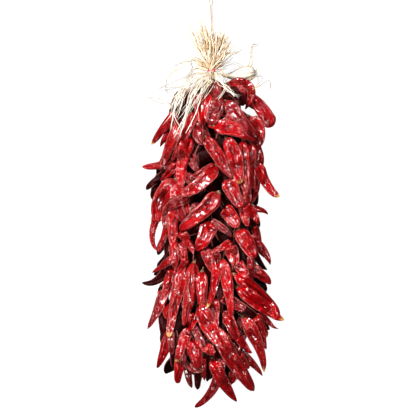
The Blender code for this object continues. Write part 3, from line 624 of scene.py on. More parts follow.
WAIST = [
    Pod(4.6, 6.8, 8.1, 0.8, -0.2, 4.0, 4, RIDGED), Pod(7.8, 2.4, 9.2, -4.3, 0.0, 2.7, 3, RIDGED),
    Pod(8.4, 7.3, 9.7, 1.9, 0.0, 3.0, 3, PLAIN), Pod(1.6, 4.9, -9.2, -4.9, 0.7, 4.7, 8, RIDGED, 0.0, 0.0),
    Pod(-4.1, 2.2, -6.5, -3.0, 0.0, 2.3, 6, DUSTY), Pod(2.7, 1.1, 6.8, -4.6, 0.2, 3.9, 7, RIDGED),
    Pod(-7.0, 3.2, -13.0, -4.9, -2.6, 2.2, 5, DUSTY), Pod(-9.7, 1.6, -7.8, -3.2, 0.0, 3.3, 4, DUSTY),
    Pod(-7.6, 2.2, -6.8, -1.1, 0.0, 2.4, 2, BRIGHT), Pod(-10.8, 0.8, -10.5, -11.0, -0.2, 2.8, 7, RIDGED),
    Pod(-10.9, -8.5, -10.2, -16.5, 0.2, 2.7, 6, RIDGED), Pod(-15.7, -3.2, -15.4, -11.0, -0.9, 1.8, 3, PLAIN),
    Pod(-12.4, -4.0, -15.1, -11.0, 0.3, 1.7, 3, PLAIN), Pod(-12.4, -3.5, -12.7, -13.8, 0.0, 1.9, 1, DARK),
    Pod(-7.8, -6.8, -4.9, -11.3, 0.0, 2.6, 4, BRIGHT), Pod(-5.7, -5.4, -8.9, -6.8, 0.0, 2.4, 2, DARK),
    Pod(-0.8, -3.0, -4.6, -10.6, 0.5, 4.3, 6, RIDGED), Pod(-0.5, -3.2, 5.1, -7.0, 0.5, 2.5, 5, DUSTY),
    Pod(-2.2, -9.7, 1.1, -17.6, -0.3, 2.9, 6, RIDGED), Pod(4.6, -8.6, -0.8, -11.1, 0.2, 2.0, 5, RIDGED),
    Pod(0.8, -11.6, 1.4, -18.4, 0.0, 2.1, 5, DUSTY), Pod(4.3, -9.5, 5.9, -15.4, 0.4, 3.8, 7, RIDGED),
    Pod(6.8, -5.1, 11.1, -12.7, 0.3, 4.2, 7, RIDGED), Pod(10.0, -7.3, 15.9, -14.3, 0.4, 3.1, 5, DUSTY),
    Pod(11.6, -5.4, 12.7, -10.3, 0.2, 2.0, 4, PLAIN), Pod(10.5, 0.8, 15.1, -0.5, 0.2, 1.7, 2, PLAIN),
    Pod(9.7, 0.3, 12.2, -3.5, 0.3, 2.7, 4, BRIGHT), Pod(10.3, -1.4, 11.6, -7.3, 0.0, 2.2, 2, DARK),
    Pod(-11.6, -13.8, -19.2, -20.1, 1.6, 2.7, 2, DARK), Pod(-12.2, -13.8, -16.5, -16.7, 0.0, 1.7, 3, PLAIN),
    Pod(-8.6, -9.2, -7.6, -14.3, 0.0, 2.7, 5, RIDGED), Pod(-6.8, -12.7, -9.7, -16.5, 0.0, 1.6, 6, BRIGHT),
    Pod(10.5, -15.7, 15.7, -19.7, 0.3, 3.3, 5, RIDGED), Pod(11.9, -12.7, 14.3, -16.2, 0.0, 1.8, 2, DARK),
    Pod(6.8, -14.3, 9.2, -17.8, 0.0, 2.7, 5, RIDGED), Pod(10.0, -11.6, 10.5, -19.4, 0.0, 1.7, 6, DUSTY),
]
SHEAF = [
    Pod(-10.8, -16.7, -13.8, -26.2, -0.2, 3.0, 4, BRIGHT),
    Pod(-13.5, -23.2, -12.2, -29.2, 0.0, 2.6, 3, BRIGHT), Pod(-6.6, -15.5, -8.4, -26.0, 0.0, 2.6, 5, DUSTY),
    Pod(-7.9, -15.0, -11.9, -34.0, -0.3, 3.2, 7, RIDGED, 0.7),
    Pod(-5.2, -13.8, -8.0, -31.0, 0.4, 3.6, 6, RIDGED),
    Pod(-3.0, -16.2, -2.9, -27.4, 0.0, 3.2, 6, BRIGHT),
    Pod(1.4, -13.8, -1.4, -25.9, 0.3, 2.3, 8, BRIGHT, 1.0), Pod(0.0, -23.0, 1.1, -31.9, 0.0, 2.4, 6, RIDGED),
    Pod(2.4, -12.7, 4.9, -28.6, 0.4, 3.0, 7, BRIGHT), Pod(1.6, -19.4, 2.4, -27.0, 0.0, 2.2, 3, DARK),
    Pod(6.5, -20.5, 18.9, -30.0, 0.0, 3.7, 7, RIDGED, 0.6), Pod(5.6, -17.0, 18.5, -28.2, 0.6, 3.1, 6, BRIGHT),
    Pod(4.6, -24.0, 8.6, -26.7, 0.0, 3.2, 3, DUSTY),
    Pod(6.8, -25.4, 13.2, -29.7, 0.0, 2.3, 2, DARK), Pod(13.0, -27.8, 17.3, -32.4, 0.0, 1.7, 4, DUSTY),
    Pod(12.2, -27.3, 14.9, -32.4, 0.0, 2.4, 1, DARK),
]
FOOT = [
    Pod(-14.0, -24.0, -17.8, -31.9, 0.3, 2.5, 3, DUSTY), Pod(-13.5, -26.7, -13.0, -35.9, -0.2, 2.6, 1, DARK),
    Pod(-11.9, -34.0, -15.1, -42.7, 0.1, 2.6, 3, PLAIN), Pod(-8.4, -38.1, -10.0, -46.7, 0.1, 3.1, 3, BRIGHT),
    Pod(-10.8, -33.8, -10.5, -43.2, 0.0, 2.2, 1, DARK), Pod(-11.3, -34.8, -11.1, -39.2, 0.0, 1.8, 3, DUSTY),
    Pod(-6.2, -31.3, -9.7, -40.8, -0.4, 2.6, 7, RIDGED, 1.0),
    Pod(-4.6, -27.5, -6.8, -32.4, 0.0, 2.6, 6, RIDGED), Pod(-7.0, -34.6, -8.4, -42.1, 0.0, 1.9, 5, DUSTY),
    Pod(-5.7, -34.8, -4.1, -42.4, 0.2, 3.9, 6, RIDGED), Pod(-8.1, -40.2, -2.4, -43.2, -0.9, 1.7, 4, DUSTY),
    Pod(-5.1, -31.3, -1.6, -38.3, 0.0, 1.9, 5, DUSTY), Pod(-2.2, -36.2, 0.3, -38.6, 0.0, 2.5, 6, RIDGED),
    Pod(-3.2, -25.0, 2.6, -36.5, -0.8, 4.3, 6, RIDGED), Pod(0.8, -31.0, 11.4, -48.6, -0.8, 4.2, 7, RIDGED),
    Pod(-0.3, -39.4, 6.5, -51.8, -0.6, 3.3, 6, RIDGED), Pod(1.8, -41.5, -4.9, -53.5, 1.7, 2.5, 3, DUSTY),
    Pod(-6.8, -42.7, -5.7, -48.1, -0.3, 2.2, 2, DUSTY), Pod(-3.8, -42.7, -4.3, -48.3, 0.0, 2.9, 2, DARK),
    Pod(-2.7, -41.9, -2.4, -45.9, 0.0, 1.7, 3, PLAIN),
    Pod(4.3, -29.4, 6.8, -34.6, 0.0, 3.2, 4, RIDGED, 0.0, 0.0),
    Pod(3.8, -28.9, 5.4, -35.1, 0.0, 1.6, 3, PLAIN), Pod(8.0, -28.3, 14.2, -43.8, 1.0, 3.5, 6, RIDGED, 0.8),
    Pod(11.6, -28.9, 14.0, -37.5, 0.3, 2.4, 5, BRIGHT),
    Pod(12.4, -29.4, 14.9, -34.0, 0.0, 2.1, 4, PLAIN, 0.7),
    Pod(9.0, -39.8, 13.6, -44.8, 0.2, 2.1, 3, PLAIN), Pod(6.2, -43.2, 4.3, -47.3, 0.0, 2.9, 5, RIDGED),
    Pod(4.9, -39.4, 5.7, -45.6, 0.0, 2.6, 1, DARK), Pod(7.6, -35.2, 10.2, -38.7, 0.0, 2.2, 4, RIDGED),
    Pod(5.1, -37.3, 8.1, -40.2, 0.0, 3.0, 4, DUSTY), Pod(7.3, -39.4, 9.7, -42.7, 0.0, 2.6, 5, RIDGED),
    Pod(7.8, -31.0, 8.1, -35.6, 0.0, 3.0, 3, DUSTY), Pod(-1.2, -35.5, -1.3, -46.2, 0.0, 3.0, 1, DARK),
    Pod(1.4, -36.0, 2.0, -45.8, 0.0, 2.6, 1, DARK),
]
FRONT = CROWN + LEFT_SHOULDER + UPPER_MIDDLE + WAIST + SHEAF + FOOT

# The body that the other pods keep within: height on the string, then its left and right edge.
BODY = [
    (36.0, -2.5, 5.5), (31.0, -8.0, 7.5), (25.5, -10.5, 7.0), (18.0, -11.5, 11.0), (8.0, -11.5, 10.5),
    (0.0, -12.0, 9.0), (-10.0, -11.5, 10.5), (-20.0, -11.5, 11.5), (-30.0, -12.5, 12.0), (-38.0, -10.2, 9.2),
    (-42.0, -8.0, 7.0),
]
AXIS_HEIGHT = 10.8           # the tying string, above the surface before the bundle settles on it
BODY_HALF = 11.5             # the body's half-width where it is full
GOLDEN_TURN = 2.399963       # from each pod of a tier to the next, so that none lies over another
FRONT_RISE = 2.5             # how much higher the heap under the front pods is at its middle
FRONT_FLATTENED = 0.88       # the pods on top are pressed in a little
BACK_SPREAD = 1.12           # the pods underneath are pressed out flat on the floor
SETTLED = 0.25               # how far the bundle's weight presses it down
POD_LENGTH = 10.5            # a typical pod, shoulder to tip
POD_THICKNESS = 0.56         # of its width: a dried pod is a flattened pouch
POD_POINTS = 9
TUCK = 0.9                   # how deep a front pod's shoulder dives in among the others
SUNK = 1.8                   # how far below the others the deepest layer lies
HIDDEN = 3.0                 # how far a deep pod's shoulder runs on under the others
HIDING_LAYERS = 3.0          # over so many layers, from the third up, that comes to nothing
CROWN_TOP = 33.0             # but not past the top of the bundle
INNER_REACH = 2.0            # how far from the string's middle the tied pods start


def edges(y: float) -> tuple[float, float]:
    """The body's left and right edge at a height on the string."""
    heights, lefts, rights = zip(*reversed(BODY))
    return float(np.interp(y, heights, lefts)), float(np.interp(y, heights, rights))


def fullness(s: float) -> float:
    """How wide a pod is along its length, for laying it.

    Args:
        s: The place along it, from 0 at the shoulder to 1 at the tip.

    Returns:
        The half-width there as a share of the widest.
    """
    shoulder = math.sqrt(max(0.0, 1.0 - (1.0 - min(s / 0.16, 1.0)) ** 2))
    tip = math.sqrt(max(0.0, 1.0 - max(0.0, (s - 0.86) / 0.14) ** 2))
    return max(0.14, shoulder * (1.0 - 0.42 * s ** 1.7) * tip)


def plan(pod: Pod, steps: int) -> list[tuple[float, float, float]]:
    """A pod's middle line in plan; the deep ones reach back towards the string.

    Args:
        pod: The pod.
        steps: How many points to give.

    Returns:
        How far along each point is, and its place.
    """
    run, rise = pod.tip_x - pod.x, pod.tip_y - pod.y
    length = math.hypot(run, rise)
    depth = max(0.0, 1.0 - max(0, pod.layer - 3) / HIDING_LAYERS)
    back = -min(HIDDEN * depth, max(0.0, CROWN_TOP - pod.y)) / length
    points = []
    for step in range(steps):
        s = step / (steps - 1)
        t = back + (1.0 - back) * s
        side = 4.0 * max(0.0, t) * (1.0 - t) * pod.bow / length
        points.append((s, pod.x + run * t - rise * side, pod.y + rise * t + run * side))
    return points


def hold_slope(heights: Any, steps: Sequence[float]) -> None:
    """Raises the heights along a line until none is lower than its stiffness lets it be.

    Args:
        heights: The height at each point, changed in place.
        steps: How much each point may lie below the next, in both directions.
    """
    for i, step in enumerate(steps):
        heights[i + 1] = max(heights[i + 1], heights[i] - step)
    for i, step in reversed(list(enumerate(steps))):
        heights[i] = max(heights[i], heights[i + 1] - step)


class Heap:
    """Heights of what already lies there, on a grid seen from above."""

    CELL = 0.5
    LEFT, LOW = -24.0, -58.0
    COLUMNS, ROWS = 97, 201
    LEAST = 1.0              # the height of the heap beside the string
    BOTTOM, TOP = -46.0, 39.0    # where it ends down and up the string
    BOTTOM_SLOPE, TOP_SLOPE = 8.0, 6.0   # over how long a stretch it falls away there
    STEEPEST = 0.70          # how fast a pod's middle line climbs or falls
    HIGHEST_SHARE = 0.6      # a pod rests on the highest place below it rather than on the mean
    SETTLE_ROUNDS = 2        # how often a middle line is smoothed
    SHORT_DIP = 0.45         # a short pod's shoulder lies deeper, as its tip is what shows

    def __init__(self) -> None:
        """Starts from the inner pods, which the front ones are laid on."""
        self.xs = self.LEFT + self.CELL * np.arange(self.COLUMNS)
        self.ys = self.LOW + self.CELL * np.arange(self.ROWS)
        self.top = np.full((self.ROWS, self.COLUMNS), self.LEAST)
        for row, y in enumerate(self.ys):
            left, right = edges(y)
            half, middle = (right - left) / 2.0, (right + left) / 2.0
            ends = min(1.0, max(0.0, (y - self.BOTTOM) / self.BOTTOM_SLOPE),
                       max(0.0, (self.TOP - y) / self.TOP_SLOPE))
            across = np.clip(1.0 - ((self.xs - middle) / half) ** 2, 0.0, 1.0)
            inner = (AXIS_HEIGHT - 1.0 + FRONT_RISE * np.sqrt(across)) * ends
            self.top[row] = np.maximum(self.top[row], inner)

    def under(self, x: float, y: float, radius: float) -> tuple[float, slice, slice, np.ndarray]:
        """What a level disc would rest on.

        Args:
            x: Its middle across the string.
            y: Its middle along the string.
            radius: Its radius.

        Returns:
            How high it would rest, the grid's rows and columns below it, and how far from its
            middle each cell is, as a share of the radius.
        """
        reach = max(radius, self.CELL)
        columns = slice(int((x - reach - self.LEFT) / self.CELL),
                        int((x + reach - self.LEFT) / self.CELL) + 2)
        rows = slice(int((y - reach - self.LOW) / self.CELL), int((y + reach - self.LOW) / self.CELL) + 2)
        near = np.hypot(self.xs[columns][None, :] - x, self.ys[rows][:, None] - y) / reach
        cells = self.top[rows, columns][near <= 1.0]
        height = self.HIGHEST_SHARE * float(cells.max()) + (1.0 - self.HIGHEST_SHARE) * float(cells.mean())
        return height, rows, columns, near

    def lay(self, pod: Pod) -> np.ndarray:
        """Lays a pod on the heap.

        Args:
            pod: The pod.

        Returns:
            Its middle line in space.
        """
        line = plan(pod, POD_POINTS)
        half = [pod.width / 2.0 * fullness(s) for s, _, _ in line]
        lift = [self.under(x, y, 0.7 * r)[0] for (_, x, y), r in zip(line, half)]
        steps = [math.dist(a[1:], b[1:]) * self.STEEPEST for a, b in zip(line, line[1:])]
        for _ in range(self.SETTLE_ROUNDS):
            lift = [(a + 2.0 * b + c) / 4.0 for a, b, c in zip([lift[0]] + lift, lift, lift[1:] + [lift[-1]])]
        hold_slope(lift, steps)
        length = math.hypot(pod.tip_x - pod.x, pod.tip_y - pod.y)
        dip = max(0.0, self.SHORT_DIP * (POD_LENGTH - length))
        middle = []
        for (s, x, y), r, z in zip(line, half, lift):
            thick = r * POD_THICKNESS
            height = max(z + 0.7 * thick - dip * (1.0 - s) ** 1.5, thick)
            _, rows, columns, near = self.under(x, y, r)
            dome = height + thick * np.sqrt(np.clip(1.0 - near ** 2, 0.0, 1.0))
            below = self.top[rows, columns]
            self.top[rows, columns] = np.where(near < 1.0, np.maximum(below, dome), below)
            middle.append((x, y, height))
        return np.array(middle)


class Laid(NamedTuple):
    """A pod in its place: its middle line in centimetres, and what it looks like."""

    line: np.ndarray
    width: float
    skin: Skin
    pale: float
    tucked: float = 0.0
    order: int = 0               # its turn as the front is laid, from the deepest up


# Where light falls through the bundle, and how far the other pods' middle lines keep away.
GAPS = ((10.4, -35.6, 2.2), (11.8, -39.6, 2.4), (-12.6, -40.8, 1.3))


def leaves_gaps(line: np.ndarray) -> bool:
    """Whether a pod leaves all the gaps open."""
    return all(np.hypot(line[:, 0] - x, line[:, 1] - y).min() > away for x, y, away in GAPS)


BETWEEN_TIERS, BETWEEN_PODS = 21, 4      # of the layer under the front pods, and in each tier
BETWEEN_TOP, BETWEEN_STEP = 30.5, 3.4
FAN = 26.0                   # how many degrees the outermost of them lean outwards, and any of them by chance


def between_pods() -> list[Pod]:
    """The deepest layer of the front, which shows in the gaps of the others; its skin is near black, as
    painted shade.

    Returns:
        The pods, none of which crosses a gap that light falls through.
    """
    rng = random.Random(SEED + 5)
    pods = []
    for tier in range(BETWEEN_TIERS):
        height = BETWEEN_TOP - BETWEEN_STEP * tier
        for place in range(BETWEEN_PODS):
            y = height + rng.uniform(-1.5, 1.5)
            left, right = edges(y)
            x = left + (right - left) * (0.14 + 0.24 * (place + rng.uniform(-0.25, 0.25)))
            outward = 2.0 * (x - left) / (right - left) - 1.0
            lean = math.radians(FAN * outward + rng.uniform(-FAN, FAN))
            length = rng.uniform(8.0, 11.0)
            pod = Pod(x, y, x + length * math.sin(lean), y - length * math.cos(lean),
                      rng.uniform(-0.8, 0.8), rng.uniform(3.2, 4.6), 0, SHADED, 0.0, 0.4)
            if leaves_gaps(np.linspace((pod.x, pod.y), (pod.tip_x, pod.tip_y), POD_POINTS)):
                pods.append(pod)
    return pods


def front_pods() -> list[Laid]:
    """Lays the pods of the front.

    Returns:
        The pods from the deepest layer up.
    """
    heap = Heap()
    laid = []
    for order, pod in enumerate(sorted(between_pods() + FRONT, key=lambda p: p.layer)):
        line = heap.lay(pod) - (0.0, 0.0, SUNK if pod.layer == 0 else 0.0)
        laid.append(Laid(line, pod.width, pod.skin, pod.pale, pod.tucked, order))
    return laid


def round_pod(height: float, turn: float, lean: float, reach: float, length: float, width: float,
              swing: float) -> np.ndarray:
    """A pod tied to the string, hanging out at an angle round it; 0 degrees is the front.

    Args:
        height: Where on the string it is tied.
        turn: Its angle round the string.
        lean: How far it leans out from the string.
        reach: How far from the string its tip comes.
        length: Its length.
        width: Its width.
        swing: How far round it turns towards its tip.

    Returns:
        Its middle line.
    """
    spread = min(1.0, length * math.sin(lean) / 6.0)
    line = []
    for step in range(POD_POINTS):
        s = step / (POD_POINTS - 1)
        y = height - length * math.cos(lean) * s
        left, right = edges(y)
        angle = turn + swing * s
        out = INNER_REACH + (reach - INNER_REACH) * math.sin(0.5 * math.pi * s ** 0.8) * spread
        middle = (right + left) / 2.0
        x = middle + math.sin(angle) * out * ((right - middle) / BODY_HALF)
        thick = width / 2.0 * fullness(s) * POD_THICKNESS
        rise = out * math.cos(angle)
        line.append((x, y, max(AXIS_HEIGHT + rise * (FRONT_FLATTENED if rise > 0.0 else BACK_SPREAD), thick)))
    return np.array(line)


TIERS, TIER_PODS = 27, 7     # of the pods tied all round, and in each tier
TIERS_TOP, TIER_STEP = 34.0, 2.55
SIDE_LIMIT = 0.12            # the cosine of a turn from which a pod counts as one of the front
SKIN_SHARES = {BRIGHT: 5, RIDGED: 6, PLAIN: 6, DUSTY: 5, DARK: 1}


def other_pods() -> list[Laid]:
    """Ties on the pods of the sides and the back, tier by tier.

    Returns:
        The pods.
    """
    rng, dye = random.Random(SEED), random.Random(SEED + 1)
    pods = []
    for tier in range(TIERS):
        height = TIERS_TOP - TIER_STEP * tier
        for place in range(TIER_PODS):
            turn = GOLDEN_TURN * (tier * TIER_PODS + place) + rng.uniform(-0.2, 0.2)
            reach = rng.uniform(10.0, 11.8)
            tied = height + rng.uniform(-1.2, 1.2)
            lean = math.radians(rng.uniform(22.0, 52.0))
            length, width, swing = rng.uniform(9.5, 12.5), rng.uniform(2.4, 3.6), rng.uniform(-0.35, 0.35)
            skin = dye.choices(list(SKIN_SHARES), list(SKIN_SHARES.values()))[0]
            pale = dye.choice((0.0, 0.0, 0.0, 0.8))
            line = round_pod(tied, turn, lean, reach, length, width, swing)
            if math.cos(turn) < SIDE_LIMIT and leaves_gaps(line):
                pods.append(Laid(line, width, skin, pale))
    return pods


# ---------------------------------------------------------------- the pods themselves


@dataclass
class PodSweep(Sweep):
    """A shrivelled pouch: two sheets that meet in creased edges, cupped, pleated and crumpled."""

    pinch: float = -0.20         # how sharply the two sheets meet; below 0 the edge is rounder
    sunken: float = 0.85         # how far the sheets have sunk in between their rims
    sway: float = 0.24           # how far the whole pouch is warped
    pleat_depth: float = 0.78    # of the long folds, and so on down to the finest
    dent_depth: float = 0.86
    pucker_depth: float = 0.36
    crinkle_depth: float = 0.12
    edge_depth: float = 0.08     # how much the folds bite into the outline

    def inputs(self) -> dict[str, float]:
        """The shape's named sizes.

        Returns:
            Each size under its name in the tree.
        """
        return {"Pinch": self.pinch, "Sunken": self.sunken, "Sway": self.sway,
                "Pleat Depth": self.pleat_depth, "Dent Depth": self.dent_depth,
                "Pucker Depth": self.pucker_depth, "Crinkle Depth": self.crinkle_depth,
                "Edge Depth": self.edge_depth}

    def wall(self, g: Graph, turn: Wire) -> tuple[Wire, Wire, Kept]:
        """The pouch's wall, from two sheets that its folds are laid on.

        Args:
            g: The graph.
            turn: The point's angle round the line, from 0 to 2 pi.

        Returns:
            Its place to the side and upwards, as shares of the half-width, and what the skin's
            material reads.
        """
        u, v = g.maths("COSINE", turn), g.maths("SINE", turn)
        reach, seed = g.field("reach"), g.field("pod") * 61.0
        calm = g.smooth(g.field("along"), 0.0, 0.30)
        crinkle = g.field("crinkle") * calm

        def grid(across: float, along: float, shift: float, depth: float = 0.6) -> Wire:
            """A place on a grid that is stretched round and along the pod, another for each pod."""
            return g.node("ShaderNodeCombineXYZ", {0: u * across + seed, 1: v * (across * depth) + shift,
                                                   2: reach * along + seed * 1.7})

        def dents(place: Wire) -> Wire:
            """Hollows with sharp rims.

            Args:
                place: Where on the pod.

            Returns:
                How high the skin is, from about -0.4 in their middles to 0.4 on the rims.
            """
            distance = g.node("ShaderNodeTexVoronoi", {"Vector": place, "Scale": 1.0}, output="Distance",
                              feature="F1", distance="MANHATTAN")
            return distance * 0.75 - 0.45

        def fold(place: Wire, detail: float = 1.0) -> Wire:
            """Sharp-crested folds, 0.5 on a crest."""
            return 0.5 - g.maths("ABSOLUTE", g.noise(place, 1.0, detail) * 2.0 - 1.0) * 2.6

        flat = 1.0 - u * u
        sunken = g.clamp(g.noise(grid(0.35, 0.40, 9.0, 0.0), 1.0, 0.0) * 2.6 - 0.75) * self.take(g, "Sunken")
        lens = g.maths("ABSOLUTE", v) ** (self.take(g, "Pinch") + 1.0) * (1.0 - flat * flat * sunken)
        sheet = g.maths("SIGN", v)
        cup = (u * u - 0.35) * g.field("hollow")
        warp = (g.noise(grid(0.7, 0.30, 1.0, 0.0), 1.0, 0.0) - 0.5) * self.take(g, "Sway") * 2.0
        pleat = fold(grid(1.5, 0.14, 3.0))
        dent = dents(grid(0.85, 0.28, 5.0))
        pucker = fold(grid(2.4, 0.55, 7.0), 0.0)
        fine = fold(grid(4.6, 1.3, 11.0), 1.0)
        small = pucker * self.take(g, "Pucker Depth") + fine * self.take(g, "Crinkle Depth")
        skin = (pleat * self.take(g, "Pleat Depth") * (0.1 + flat)
                + dent * self.take(g, "Dent Depth") * (0.15 + flat * 0.9) + small * crinkle * (0.15 + flat))
        skin = skin * (0.35 + calm * 0.65)
        outward = g.field("thick") + g.maths("MAXIMUM", skin, -0.1) * (sheet * 0.35 + 0.65)
        rise = cup * calm + warp + sheet * lens * outward + skin * 0.35
        spread = 1.0 + (dent + pleat * 0.2) * self.take(g, "Edge Depth")
        relief = g.clamp(0.5 + pleat * 0.3 + dent * 0.55 + pucker * 0.4 + fine * 0.15)
        kept = {"relief": (relief, "FLOAT"), "rim": (g.maths("ABSOLUTE", u), "FLOAT"),
                "skin": (grid(1.0, 1.0, 0.0), "FLOAT_VECTOR")}
        return u * spread, rise, kept


# What stays on the pods' points, for their skins and for pressing them.
POD_VALUES = ("relief", "rim", "skin", "pod", "along", "pale", "order", "free")


@dataclass
class PodMass:
    """All the pods of the string, one piece for each kind of skin at the front and round the back."""

    front_points: int = 54
    front_sides: int = 30
    back_points: int = 36
    back_sides: int = 22
    narrowest: float = 0.03      # of a pod's width, at its very ends
    broader: float = 1.04        # a pod's folds take up some of its width, by this share
    spare: float = 0.3           # and by this much
    diving: float = 0.25         # the share of a pod's length, at the shoulder, that dives in
    curled: float = 0.25         # and the share, at the tip, that may curl

    def lines(self, pods: Sequence[Laid], points: int, rng: random.Random) -> LineSet:
        """The pods' middle lines with all that the sweep reads.

        Args:
            pods: The pods.
            points: How many points each line has.
            rng: Where chance comes from.

        Returns:
            The lines.
        """
        lines = LineSet()
        s = np.linspace(0.0, 1.0, points)
        thick = np.interp(s, (0.0, 0.2, 0.55, 1.0), (0.54, 0.48, 0.40, 0.36))
        for pod in pods:
            line = smooth_line(pod.line, points)
            dive = TUCK * max(0.0, pod.tucked) * np.clip(1.0 - s / self.diving, 0.0, 1.0) ** 2.0
            line[:, 2] -= SETTLED + dive
            widths = self.widths(s, rng)
            curl = rng.uniform(-0.7, 0.7) * np.clip((s - 1.0 + self.curled) / self.curled, 0.0, 1.0) ** 2
            heading = line[-1] - line[-4]
            line[:, 0] += -heading[1] / np.linalg.norm(heading) * curl
            line[:, 1] += heading[0] / np.linalg.norm(heading) * curl
            lines.add(line, half=(self.spare + pod.width * self.broader) / 2.0 * widths * CM, along=s,
                      roll=rng.uniform(-0.22, 0.22) + rng.uniform(-0.4, 0.4) * (s - 0.4),
                      reach=arc_length(line) / (pod.width / 2.0), pod=rng.random(),
                      hollow=rng.uniform(-0.2, 0.3), order=pod.order,
                      free=1.0 - max(0.0, pod.tucked) * np.clip((0.16 - s) / 0.1, 0.0, 1.0),
                      thick=thick * rng.uniform(0.8, 1.15),
                      crinkle=pod.skin.value.crinkle * rng.triangular(0.1, 1.2, 0.4), pale=pod.pale)
        return lines

    def widths(self, s: np.ndarray, rng: random.Random) -> np.ndarray:
        """How wide one pod is along its length: a round shoulder, a taper of its own and a tip.

        Args:
            s: Places along it, from 0 at the shoulder to 1 at the tip.
            rng: Where chance comes from.

        Returns:
            The half-width at each place as a share of the widest.
        """
        shoulder = np.clip(1.0 - (1.0 - np.minimum(s / 0.24, 1.0)) ** 2, 0.0, 1.0) ** 0.7
        end = rng.uniform(0.10, 0.30)
        tip = np.sqrt(np.clip(1.0 - np.clip((s - 1.0 + end) / end, 0.0, 1.0) ** 2, 0.0, 1.0))
        taper = 1.0 - rng.uniform(0.45, 0.80) * s ** rng.uniform(1.4, 2.4)
        swell = 1.0 + 0.05 * np.sin(s * rng.uniform(5.0, 11.0) + rng.uniform(0.0, 6.0))
        return np.maximum(self.narrowest, shoulder * taper * swell * tip)

    def build(self, front: Sequence[Laid], others: Sequence[Laid]) -> list[bpy.types.Object]:
        """Makes the pieces.

        Args:
            front: The front pods as they are laid, from the deepest, which are those of between_pods.
            others: The pods of the sides and the back.

        Returns:
            One piece for each kind of skin at the front, deep in it, and round the back.
        """
        finishes = {skin: skin.value.material() for skin in Skin}
        deep = len(between_pods())
        groups = {"back": (others, self.back_points, self.back_sides),
                  "deep": (front[:deep], self.back_points, self.back_sides),
                  "front": (front[deep:], self.front_points, self.front_sides)}
        pieces, pressing = [], Pressing()
        for place, (pods, points, sides) in groups.items():
            sweep = PodSweep(f"shrivelled pods, {place}", sides)
            made = []
            for skin in Skin:
                chosen = [pod for pod in pods if pod.skin is skin]
                if chosen:
                    name = f"{place}_pods_{skin.name.lower()}"
                    lines = self.lines(chosen, points, random.Random(f"{place} {skin.name}"))
                    made.append(sweep.run(name, lines, finishes[skin], POD_VALUES))
            pressing.settle(made, points, sides, moves=place != "back")
            pieces += made
        return pieces


